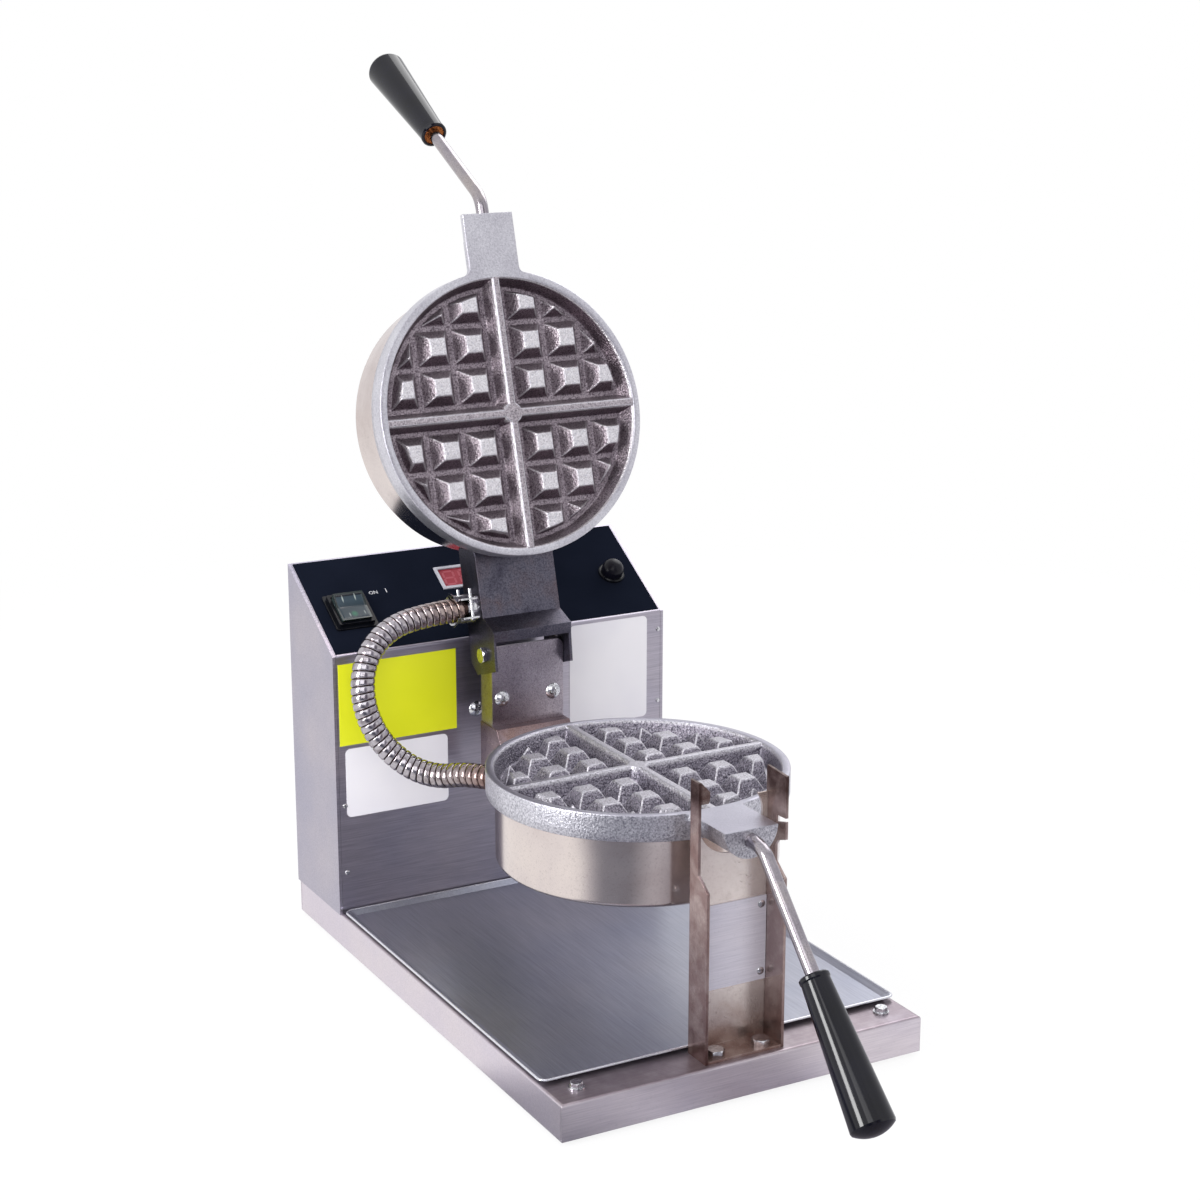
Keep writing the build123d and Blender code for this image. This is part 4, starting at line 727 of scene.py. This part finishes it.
sheetLooks = {
    "brushed_sheet": {
        "grain": (0.03, 1.0, 1.0), "spacing": 0.9, "dark": "#b3b0bb", "light": "#d3d0d9",
        "cool": "#dedde6", "warm": "#f3eeee", "rough": (0.3, 0.42), "bump": 0.12,
    },
    "plate_sheet": {
        "grain": (1.0, 0.03, 1.0), "spacing": 1.2, "dark": "#8f8f94", "light": "#a9a9ae",
        "cool": "#e4e4e8", "warm": "#f2f0ee", "rough": (0.35, 0.5), "bump": 0.1,
    },
    "pan_sheet": {
        "grain": (0.03, 1.0, 1.0), "spacing": 0.9, "dark": "#c8c3cc", "light": "#dfdae1",
        "cool": "#f0ecf1", "warm": "#faf5f2", "rough": (0.28, 0.4), "bump": 0.12, "metallic": 0.85,
        "edge": 0.8, "stains": [("Z", 27.6, 28.6, "#94858a", 0.7)],
    },
    "tray_sheet": {
        "grain": (1.0, 0.03, 1.0), "turn": (0, 0, 0.5), "spacing": 1.1, "dark": "#a0a2ad",
        "light": "#b8bac4", "cool": "#e2e4ec", "warm": "#f2f0f1", "rough": (0.26, 0.36), "bump": 0.14,
        "metallic": 0.82,
    },
    # the tray's rolled lip: lighter than the tray's own sheet, partly a painted highlight along the tray's
    # edge
    "rolled_edge": {
        "grain": (1.0, 1.0, 1.0), "spacing": 1.1, "dark": "#d0d1d8", "light": "#e6e7ec",
        "cool": "#f2f2f6", "warm": "#faf8f8", "rough": (0.2, 0.3), "bump": 0.05, "metallic": 0.8,
    },
    "name_plate": {
        "grain": (0.03, 1.0, 1.0), "spacing": 0.8, "dark": "#c9c7d2", "light": "#dddbe4",
        "cool": "#e8e8ef", "warm": "#f5f1f1", "rough": (0.3, 0.4), "bump": 0.08, "metallic": 0.3,
    },
}


def tintedSteel(tree, look):
    # Bright steel that heat has stained: straw and brown films, with dark speckles of baked on fat.
    place = put(tree, "TexCoord").outputs["Object"]
    cloud = put(tree, "TexNoise", {"Vector": place, "Scale": 1000 / look["cloud"], "Detail": 4.0,
                                   "Roughness": 0.6, "Distortion": 0.4})
    fleck = put(tree, "TexNoise", {"Vector": place, "Scale": 1000 / look["fleck"], "Detail": 3.0,
                                   "Roughness": 0.7})
    film = put(tree, "ValToRGB", {"Fac": cloud}, look["films"])
    flecks = put(tree, "ValToRGB", {"Fac": fleck}, look["flecks"])
    colour = put(tree, "Mix", {**multiply, 0: look["amount"], 6: film, 7: flecks}).outputs[2]
    colour = stained(tree, colour, place, look.get("stains", []))
    return bareMetal(tree, colour, look.get("metallic", 1.0), grain=fleck, rough=look["rough"][::-1],
                     relief=fleck, strength=look["bump"], depth=0.1, edge=0.5)


tintLooks = {
    "bracket_steel": {
        "cloud": 60.0, "fleck": 1.5, "amount": 0.45, "rough": (0.18, 0.32), "bump": 0.12,
        "films": [(0.25, "#cbbdb9"), (0.42, "#ded3cf"), (0.6, "#e8dfda"), (0.8, "#cdb8ad")],
        "flecks": [(0.33, "#7a5f58"), (0.41, "#ffffff")], "metallic": 0.75,
        "stains": [("X", -27.0, -29.0, "#86696a", 0.9), ("X", 27.6, 28.4, "#86696a", 0.8),
                   ("Z", 75.0, 28.0, "#7c4f42", 0.85), ("Z", 196.0, 210.0, "#5c3a30", 0.9)],
    },
    "hinge_plate": {
        "cloud": 30.0, "fleck": 1.2, "amount": 0.5, "rough": (0.22, 0.36), "bump": 0.15,
        "films": [(0.3, "#9a8b90"), (0.55, "#b3a2a6"), (0.75, "#a68a80")],
        "flecks": [(0.33, "#6c5f64"), (0.5, "#ffffff")],
        "stains": [("Z", 150.0, 190.0, "#7c5044", 0.95)],
    },
    "heat_tinted_steel": {
        "cloud": 26.0, "fleck": 1.2, "amount": 0.6, "rough": (0.3, 0.45), "bump": 0.25,
        "films": [(0.3, "#565462"), (0.5, "#6f6d7a"), (0.66, "#6e666f"), (0.8, "#7c5e54")],
        "flecks": [(0.35, "#76747f"), (0.62, "#ffffff")],
    },
    "upright_steel": {
        "cloud": 45.0, "fleck": 1.1, "amount": 0.5, "rough": (0.22, 0.36), "bump": 0.15,
        "films": [(0.3, "#9c949e"), (0.5, "#b0a8b2"), (0.7, "#b8aeb2"), (0.85, "#a88e84")],
        "flecks": [(0.34, "#77727c"), (0.52, "#ffffff")],
    },
    "shell_steel": {
        "cloud": 60.0, "fleck": 1.5, "amount": 0.2, "rough": (0.14, 0.22), "bump": 0.04,
        "films": [(0.3, "#c9bcb9"), (0.5, "#d8cdca"), (0.7, "#e0d5d0"), (0.88, "#cfbdb0")],
        "flecks": [(0.3, "#8a8080"), (0.45, "#ffffff")],
    },
    "rod_steel": {
        "cloud": 30.0, "fleck": 1.0, "amount": 0.4, "rough": (0.12, 0.24), "bump": 0.05,
        "films": [(0.3, "#87808a"), (0.5, "#a8a2a8"), (0.75, "#b8afab")],
        "flecks": [(0.33, "#8b8488"), (0.5, "#ffffff")],
    },
    "machined_steel": {
        "cloud": 25.0, "fleck": 0.8, "amount": 0.4, "rough": (0.25, 0.38), "bump": 0.08,
        "films": [(0.3, "#86848a"), (0.6, "#a3a1a6")],
        "flecks": [(0.3, "#8b8488"), (0.5, "#ffffff")],
    },
    "heater_steel": {
        "cloud": 20.0, "fleck": 1.0, "amount": 0.6, "rough": (0.35, 0.5), "bump": 0.2,
        "films": [(0.3, "#4c4846"), (0.5, "#6b625c"), (0.75, "#7a5a48")],
        "flecks": [(0.33, "#6b6468"), (0.5, "#ffffff")],
    },
}


def brightFastener(tree, look):
    # Zinc plated and polished heads: a hard mirror with small dents from the spanner.
    place = put(tree, "TexCoord").outputs["Object"]
    dents = put(tree, "TexNoise", {"Vector": place, "Scale": 1000 / look["dent"]})
    colour = put(tree, "ValToRGB", {"Fac": dents}, [(0.35, look["dark"]), (0.6, look["light"])])
    return bareMetal(tree, colour, 1.0, grain=dents, rough=look["rough"], relief=dents, strength=0.25,
                     depth=0.1, edge=0.3)


fastenerLooks = {
    "fastener_steel": {"dent": 2.2, "dark": "#a9a9ad", "light": "#dcdce0", "rough": (0.12, 0.26)},
    "bush_bronze": {"dent": 1.8, "dark": "#8d6a3a", "light": "#b98c4f", "rough": (0.25, 0.4)},
    "ferrule_brass": {"dent": 1.5, "dark": "#6f4022", "light": "#a8683a", "rough": (0.25, 0.42)},
}


# heights between which the lower iron's skin gives way to its ground face, and where the upper iron begins
groundFace = (189.9, 190.02)
upperFrom = (195.0, 196.0)
# brings the lighter marks on the grid's tops and edges, partly wear and partly a painted highlight, which
# the grit has broken up and so halved, back to their strength
wearAndSheenGain = 1.9


def castAluminium(tree, look):
    # Sand cast aluminium: a pebbled skin about 1 mm coarse. On the waffle grids the tops and edges are
    # lighter, partly where the rub of bakes has polished them and partly as a painted highlight.
    place = put(tree, "TexCoord").outputs["Object"]
    grit = put(tree, "TexNoise", {"Vector": place, "Scale": 1000 / look["grit"], "Detail": 5.0,
                                  "Roughness": 0.7})
    pits = put(tree, "TexVoronoi", {"Vector": place, "Scale": 1000 / look["pit"]})
    cloud = put(tree, "TexNoise", {"Vector": place, "Scale": 1000 / patternSize["castCloud"], "Detail": 3.0})
    base = put(tree, "ValToRGB", {"Fac": cloud}, look["clouds"])
    tone = put(tree, "ValToRGB", {"Fac": grit}, look["tones"])

    # how coarse the skin is: less on the lower iron's ground faces and, by its look, on the upper iron
    z = put(tree, "SeparateXYZ", {0: place}).outputs["Z"]
    ground = put(tree, "MapRange", {"Value": z, "From Min": groundFace[0] * mm,
                                    "From Max": groundFace[1] * mm, "To Min": 1.0, "To Max": 0.25})
    upper = put(tree, "MapRange", {"Value": z, "From Min": upperFrom[0] * mm, "From Max": upperFrom[1] * mm})
    above = put(tree, "Math MULTIPLY", {0: upper, 1: look.get("above", 1.0)})
    coarse = put(tree, "Math MAXIMUM", {0: ground, 1: above})
    gritty = put(tree, "Mix", {**multiply, 0: coarse, 6: base, 7: tone}).outputs[2]

    # the lower iron's ground faces are a little greyer than its skin
    skin = put(tree, "Math MAXIMUM", {0: coarse, 1: upper})
    greyer = put(tree, "Mix", {**plain, 0: skin, 6: linear("#c4c2cb"), 7: (1, 1, 1, 1)}).outputs[2]
    colour = put(tree, "Mix", {**multiply, 0: 1.0, 6: gritty, 7: greyer}).outputs[2]
    if "worn" in look:
        colour = wornAndLitGrid(tree, colour, grit, look)

    height = put(tree, "Math ADD", {0: grit, 1: pits})
    strength = put(tree, "Math MULTIPLY", {0: coarse, 1: look["bump"]})
    return bareMetal(tree, colour, look["metallic"], grain=grit, rough=look["rough"], relief=height,
                     strength=strength, depth=0.5, edge=look["edge"])


def wornAndLitGrid(tree, colour, grit, look):
    # painted shade on the flanks that hang over, and patches on the tops and the edges made lighter, partly
    # rubbed bright and partly a painted highlight
    height, ridge, overhang = [put(tree, "Attribute", {"attribute_name": key}).outputs["Fac"]
                               for key in ("height", "ridge", "overhang")]
    tops = put(tree, "ValToRGB", {"Fac": height}, look["worn"])
    edges = put(tree, "MapRange", {"Value": ridge, "From Min": 0.15, "From Max": 0.6,
                                   "To Max": look["rubbed"]})
    most = put(tree, "Math MAXIMUM", {0: tops, 1: edges})
    patchy = put(tree, "Math MULTIPLY", {0: most, 1: grit})
    bright = put(tree, "Math MULTIPLY", {0: patchy, 1: wearAndSheenGain, "use_clamp": True})
    if "fat" in look:
        # painted shade: the flanks that hang over when the lid stands open are darkened
        tint, amount = look["fat"]
        fat = put(tree, "Math MULTIPLY", {0: overhang, 1: amount})
        colour = put(tree, "Mix", {**multiply, 0: fat, 6: colour, 7: linear(tint)}).outputs[2]
    return put(tree, "Mix", {**plain, 0: bright, 6: colour, 7: linear(look["bright"])}).outputs[2]


castLooks = {
    "cast_aluminium": {
        "grit": 1.3, "pit": 1.5, "metallic": 0.92, "rough": (0.24, 0.42), "bump": 0.4, "edge": 0.9,
        "above": 0.45,
        "clouds": [(0.3, "#cbc9d2"), (0.7, "#dddce3")], "tones": [(0.36, "#a3a3ab"), (0.58, "#ffffff")],
    },
    # on the waffle grids the tops and the bands along their edges are lighter, partly rubbed wear and partly
    # a painted highlight; the upper grid's hanging flanks get a painted shade
    "lowerWaffle": {
        "grit": 1.2, "pit": 1.5, "metallic": 0.9, "rough": (0.2, 0.4), "bump": 1.0, "edge": 0.3,
        "clouds": [(0.3, "#9a95a1"), (0.7, "#b0abb6")], "tones": [(0.4, "#74727c"), (0.58, "#ffffff")],
        "worn": [(0.845, 0.0), (0.865, 0.45), (0.9, 0.45), (0.95, 0.5)], "rubbed": 0.55,
        "bright": "#e4e2e8",
    },
    "upperWaffle": {
        "grit": 1.2, "pit": 1.5, "metallic": 0.85, "rough": (0.26, 0.46), "bump": 0.8, "edge": 0.3,
        "clouds": [(0.3, "#a99ea6"), (0.7, "#bdb2b9")], "tones": [(0.38, "#857d85"), (0.58, "#ffffff")],
        "worn": [(0.845, 0.0), (0.865, 0.8), (0.9, 0.8), (0.95, 0.2)], "rubbed": 0.5,
        "fat": ("#9c8a94", 0.8), "bright": "#f0eef2",
    },
}


def windingSteel(tree):
    # Interlocked galvanised strip, buffed bright: mirror bands with dark oily joints, bronzed at the ends.
    along, dip = [put(tree, "Attribute", {"attribute_name": key}).outputs["Fac"] for key in ("along", "dip")]
    place = put(tree, "TexCoord").outputs["Object"]
    smear = put(tree, "TexNoise", {"Vector": place, "Scale": 1000 / patternSize["smear"], "Detail": 3.0})
    tint = put(tree, "ValToRGB", {"Fac": along}, [
        (0.0, "#8f7068"), (0.12, "#a89c9c"), (0.3, "#b9b4ba"),
        (0.78, "#bbb6bc"), (0.93, "#b0a09c"), (1.0, "#a08a82")])
    smears = put(tree, "ValToRGB", {"Fac": smear}, [(0.3, "#a59a9a"), (0.55, "#ffffff")])
    smeared = put(tree, "Mix", {**multiply, 0: 0.7, 6: tint, 7: smears}).outputs[2]
    joint = put(tree, "MapRange", {"Value": dip, "From Min": 0.3, "From Max": 0.9})
    colour = put(tree, "Mix", {**plain, 0: joint, 6: smeared, 7: linear("#40322f")}).outputs[2]
    rough = put(tree, "MapRange", {"Value": smear, "To Min": 0.1, "To Max": 0.26})
    return put(tree, "BsdfPrincipled", {"Base Color": colour, "Metallic": 1.0, "Roughness": rough})


def mouldedPlastic(tree, look):
    # Moulded or printed plastic and rubber: one colour with faint clouding and a skin as rough as its mould.
    grainSize, cloudSize, dark, light, rough, relief, shine, coat = look
    place = put(tree, "TexCoord").outputs["Object"]
    grain = put(tree, "TexNoise", {"Vector": place, "Scale": 1000 / grainSize, "Detail": 3.0})
    cloud = put(tree, "TexNoise", {"Vector": place, "Scale": 1000 / cloudSize})
    colour = put(tree, "ValToRGB", {"Fac": cloud}, [(0.3, dark), (0.7, light)])
    spread = put(tree, "MapRange", {"Value": cloud, "To Min": rough[0], "To Max": rough[1]})
    bump = put(tree, "Bump", {"Height": grain, "Strength": relief, "Distance": 0.05 * mm})
    return put(tree, "BsdfPrincipled", {
        "Base Color": colour, "Roughness": spread, "Normal": bump, "Coat Weight": coat,
        "Coat Roughness": 0.06, "Specular IOR Level": shine})


plasticLooks = {
    # sizes of its grain and clouds in mm, dark, light, roughness, relief, shine, clear coat
    # phenolic knob stock, polished to a deep gloss
    "grip_plastic": (3.0, 25.0, "#04040a", "#090914", (0.08, 0.12), 0.02, 0.4, 0.0),
    # feet, dull from the mould
    "foot_rubber": (0.8, 25.0, "#19191b", "#242426", (0.6, 0.75), 0.3, 0.5, 0.0),
    # printed vinyl labels, left blank
    "yellow_vinyl": (0.6, 60.0, "#dbe014", "#e2e61c", (0.38, 0.48), 0.05, 0.5, 0.0),
    "white_vinyl": (0.6, 60.0, "#e2e0e8", "#ebe9ee", (0.36, 0.46), 0.05, 0.5, 0.0),
    # polyester overlay, back printed, with a fine matt texture
    "dark_film": (0.7, 50.0, "#131722", "#171b27", (0.34, 0.44), 0.12, 0.0, 0.0),
    # glossy mouldings: switch and button housings, inlet bush, posts, terminal block
    "black_plastic": (1.2, 25.0, "#07080d", "#0e1016", (0.18, 0.28), 0.04, 0.25, 0.0),
    "smoked_plastic": (2.0, 25.0, "#20292a", "#2d3838", (0.12, 0.2), 0.03, 0.5, 0.5),
    "button_rubber": (1.0, 25.0, "#090912", "#10101a", (0.22, 0.34), 0.08, 0.2, 0.0),
    "display_bezel": (1.0, 25.0, "#9a9aa6", "#b4b4be", (0.35, 0.45), 0.05, 0.5, 0.0),
    # red filter over the digits, and the digits under it
    "display_red": (1.5, 25.0, "#8a2a37", "#963441", (0.2, 0.3), 0.02, 0.1, 0.0),
    "digitRed": (1.5, 25.0, "#a04854", "#a9525e", (0.3, 0.4), 0.0, 0.1, 0.0),
    "letterWhite": (1.0, 25.0, "#c9ccd4", "#d8dae0", (0.4, 0.5), 0.02, 0.5, 0.0),
    "board_green": (1.0, 25.0, "#15401f", "#1d5229", (0.4, 0.55), 0.08, 0.5, 0.0),
    "mineral_wool": (0.9, 8.0, "#a8a391", "#c9c3b0", (0.85, 0.95), 0.8, 0.5, 0.0),
}


window = {
    # its colour from its foot to its head
    "shades": [(0.0, "#2c3840"), (0.5, "#36444e"), (0.78, "#323f49"), (0.8, "#161c22"), (0.97, "#1d242b"),
               (1.0, "#3b474e")],
    # soft spots: across, up, half width, half height, where it ends in those, colour, strength
    "spots": [
        (-0.05, -0.62, 0.1, 0.1, 3.0, "#2a6a50", 0.8),
        (-0.5, 0.62, 0.05, 0.24, 1.3, "#c4d0cc", 0.5),
        (0.42, 0.68, 0.05, 0.24, 1.3, "#c4d0cc", 0.5),
        (-0.4, -0.66, 0.05, 0.16, 1.3, "#c4d0cc", 0.35),
        (0.7, -0.6, 0.05, 0.16, 1.3, "#c4d0cc", 0.3),
    ],
}


def clearWindow(tree):
    # Smoked polycarbonate lens of a lit switch: contacts and the green lamp show through it as soft marks.
    across, up = [put(tree, "Attribute", {"attribute_name": key}).outputs["Fac"]
                  for key in ("acrossWindow", "upWindow")]
    place = put(tree, "CombineXYZ", {0: across, 1: up})
    colour = put(tree, "ValToRGB", {"Fac": up}, window["shades"])
    for x, y, width, tall, end, tint, strength in window["spots"]:
        fromIt = put(tree, "VectorMath SUBTRACT", {0: place, 1: (x, y, 0)})
        inWidths = put(tree, "VectorMath DIVIDE", {0: fromIt, 1: (width, tall, 1)})
        far = put(tree, "VectorMath LENGTH", {0: inWidths}).outputs["Value"]
        near = put(tree, "MapRange", {"Value": far, "From Min": 0.5, "From Max": end, "To Min": strength,
                                      "To Max": 0.0})
        colour = put(tree, "Mix", {**plain, 0: near, 6: colour, 7: linear(tint)}).outputs[2]
    return put(tree, "BsdfPrincipled", {
        "Base Color": colour, "Roughness": 0.14, "IOR": 1.58, "Specular IOR Level": 0.25})


def makeMaterials():
    kinds = [(sheetLooks, brushedSheet), (tintLooks, tintedSteel), (fastenerLooks, brightFastener),
             (castLooks, castAluminium), (plasticLooks, mouldedPlastic)]
    made = {name: makeMaterial(name, draw, look) for looks, draw in kinds for name, look in looks.items()}
    made["conduit_steel"] = makeMaterial("conduit_steel", windingSteel)
    made["clearWindow"] = makeMaterial("clearWindow", clearWindow)
    return made


def dress(piece, material):
    # puts one material on a piece, on the object's own slot where the mesh already has one
    if not piece.material_slots:
        piece.data.materials.append(material)
    for slot in piece.material_slots:
        slot.link = "OBJECT"
        slot.material = material


# nodes whose finish differs from the usual one of their slot
ownFinish = {
    "hinge_upright": "upright_steel",
    "lower_hinge_bracket": "hinge_plate",
    "base_pan": "pan_sheet",
    "upper_conduit_fitting": "fastener_steel",
}
materials = makeMaterials()
slotOf = {row["node"]: row["material_slot"] for row in frame["record"]["subparts"]}
for node, piece in frame["nodes"].items():
    dress(piece, materials[ownFinish.get(node, slotOf[node])])
for piece, finish in [(hosePiece, "conduit_steel"), (lowerFace, "lowerWaffle"), (upperFace, "upperWaffle"),
                      (lowerRim, "cast_aluminium"), (upperRim, "cast_aluminium"), (digits, "digitRed"),
                      (letters, "letterWhite"), (rockerWindow, "clearWindow"),
                      (coverRivets, "fastener_steel"), (lip, "rolled_edge")]:
    dress(piece, materials[finish])
print("materials", len(materials))


# Studio: pale floor, soft lamps, a white surround that is dimmer behind the camera

studio = {
    "floorColour": "#f4f3f5",
    "floorReach": 6.0,
    # how much of the floor's look is its own even glow, near the object and far off
    "floorGlow": (0.88, 1.0),
    "glowFade": (0.5, 1.4),
    "skyLight": 0.9,
    "overhead": "#f6f6f8",
    # the surround that metal mirrors, once round from the front by the left and the back
    "surround": [
        (0.0, "#7d7482"), (0.02, "#9a98a2"), (0.045, "#c2c2ca"), (0.085, "#585b6c"), (0.135, "#5c5f70"),
        (0.155, "#b0b0b8"), (0.178, "#ffffff"), (0.36, "#ffffff"), (0.5, "#f8f8fa"), (0.7, "#f2f2f6"),
        (0.84, "#e4e4ea"), (0.92, "#ffffff"), (0.945, "#f2f2f4"), (0.97, "#8f8b98"), (1.0, "#7d7482"),
    ],
    # the middle of the dark band on that scale; the floor's bands are drawn in toward it by up to this
    # factor, between these distances from the origin
    "darkMiddle": 0.075,
    "narrowest": 0.72,
    "narrowFade": (0.5, 0.62),
    "lamps": [
        # name, place, size across and up, watts
        ("keyLamp", (1.5, 0.8, 1.9), (1.8, 1.8), 22.0),
        ("fillLamp", (-1.2, -1.7, 1.3), (1.6, 1.6), 14.0),
        ("stripLamp", (-1.62, -0.2, 0.72), (0.42, 1.1), 22.0),
    ],
    "lampAim": (0.0, 0.0, 0.2),
}


def aroundBand(tree, x, y, narrow=1.0):
    # the surround's colour in the direction of x and y: the angle round the object, through the bands,
    # drawn in toward the dark band's middle by the factor narrow, so that the band widens there
    middle = studio["darkMiddle"]
    angle = put(tree, "Math ARCTAN2", {0: x, 1: y})
    around = put(tree, "MapRange", {"Value": angle, "From Min": -math.pi, "From Max": math.pi})
    shifted = put(tree, "Math SUBTRACT", {0: around, 1: middle})
    signed = put(tree, "Math WRAP", {0: shifted, 1: -0.5, 2: 0.5})
    drawn = put(tree, "Math MULTIPLY", {0: signed, 1: narrow})
    back = put(tree, "Math ADD", {0: drawn, 1: middle})
    share = put(tree, "Math WRAP", {0: back, 1: 0.0, 2: 1.0})
    return put(tree, "ValToRGB", {"Fac": share}, studio["surround"])


def seenBand(tree, band):
    # what rays that look at the surround get, white for the camera and the bands for metal, and the
    # share of rays that look: those of the camera, of reflections and of clear plastic
    ray = put(tree, "LightPath")
    even = put(tree, "Mix", {**plain, 0: ray.outputs["Is Camera Ray"], 6: band, 7: (1, 1, 1, 1)}).outputs[2]
    some = put(tree, "Math MAXIMUM", {0: ray.outputs["Is Camera Ray"], 1: ray.outputs["Is Glossy Ray"]})
    seen = put(tree, "Math MAXIMUM", {0: some, 1: ray.outputs["Is Transmission Ray"]})
    return even, seen


def paleFloor(tree):
    # Seamless white studio card: evenly lit, with a glow that fades in to hide its far edge.
    s = studio
    place = put(tree, "TexCoord").outputs["Object"]
    sides = put(tree, "SeparateXYZ", {0: place})
    far = put(tree, "VectorMath LENGTH", {0: place}).outputs["Value"]
    narrow = put(tree, "MapRange", {"Value": far, "From Min": s["narrowFade"][0],
                                    "From Max": s["narrowFade"][1], "To Min": 1.0, "To Max": s["narrowest"]})
    even, seen = seenBand(tree, aroundBand(tree, sides.outputs["X"], sides.outputs["Y"], narrow))
    share = put(tree, "MapRange", {"Value": far, "From Min": s["glowFade"][0], "From Max": s["glowFade"][1],
                                   "To Min": s["floorGlow"][0], "To Max": s["floorGlow"][1]})
    part = put(tree, "Math MULTIPLY", {0: seen, 1: share})
    diffuse = put(tree, "BsdfDiffuse", {"Color": linear(s["floorColour"])})
    glow = put(tree, "Emission", {"Color": even})
    return put(tree, "MixShader", {0: part, 1: diffuse, 2: glow})


def makeFloor():
    reach = studio["floorReach"]
    corners = [(-reach, -reach, 0), (reach, -reach, 0), (reach, reach, 0), (-reach, reach, 0)]
    floor = meshPiece("floor", corners, [(0, 1, 2, 3)], smooth=False)
    dress(floor, makeMaterial("paleFloor", paleFloor))


def makeLamps():
    for name, place, (width, tall), watts in studio["lamps"]:
        light = bpy.data.lights.new(name, "AREA")
        light.shape = "RECTANGLE"
        light.size = width
        light.size_y = tall
        light.energy = watts
        holder = addObject(name, light)
        holder.location = place
        aim = np.array(studio["lampAim"]) - np.array(place)
        tilt = math.acos(-aim[2] / np.linalg.norm(aim))
        holder.rotation_euler = (tilt, 0, math.atan2(aim[1], aim[0]) - math.pi / 2)


def makeSurround():
    world = bpy.data.worlds.new("studio")
    world.use_nodes = True
    bpy.context.scene.world = world
    tree = world.node_tree
    tree.nodes.clear()
    way = put(tree, "SeparateXYZ", {0: put(tree, "TexCoord").outputs["Generated"]})
    band = aroundBand(tree, way.outputs["X"], way.outputs["Y"])
    high = put(tree, "MapRange", {"Value": way.outputs["Z"], "From Min": 0.5, "From Max": 0.9})
    side = put(tree, "Mix", {**plain, 0: high, 6: band, 7: linear(studio["overhead"])}).outputs[2]
    even, seen = seenBand(tree, side)
    surround = put(tree, "Background", {"Color": even})
    light = put(tree, "Background", {"Color": (1, 1, 1, 1), "Strength": studio["skyLight"]})
    put(tree, "OutputWorld", {"Surface": put(tree, "MixShader", {0: seen, 1: light, 2: surround})})


makeFloor()
makeLamps()
makeSurround()
bpy.context.scene.view_settings.view_transform = "Standard"
print("studio set")
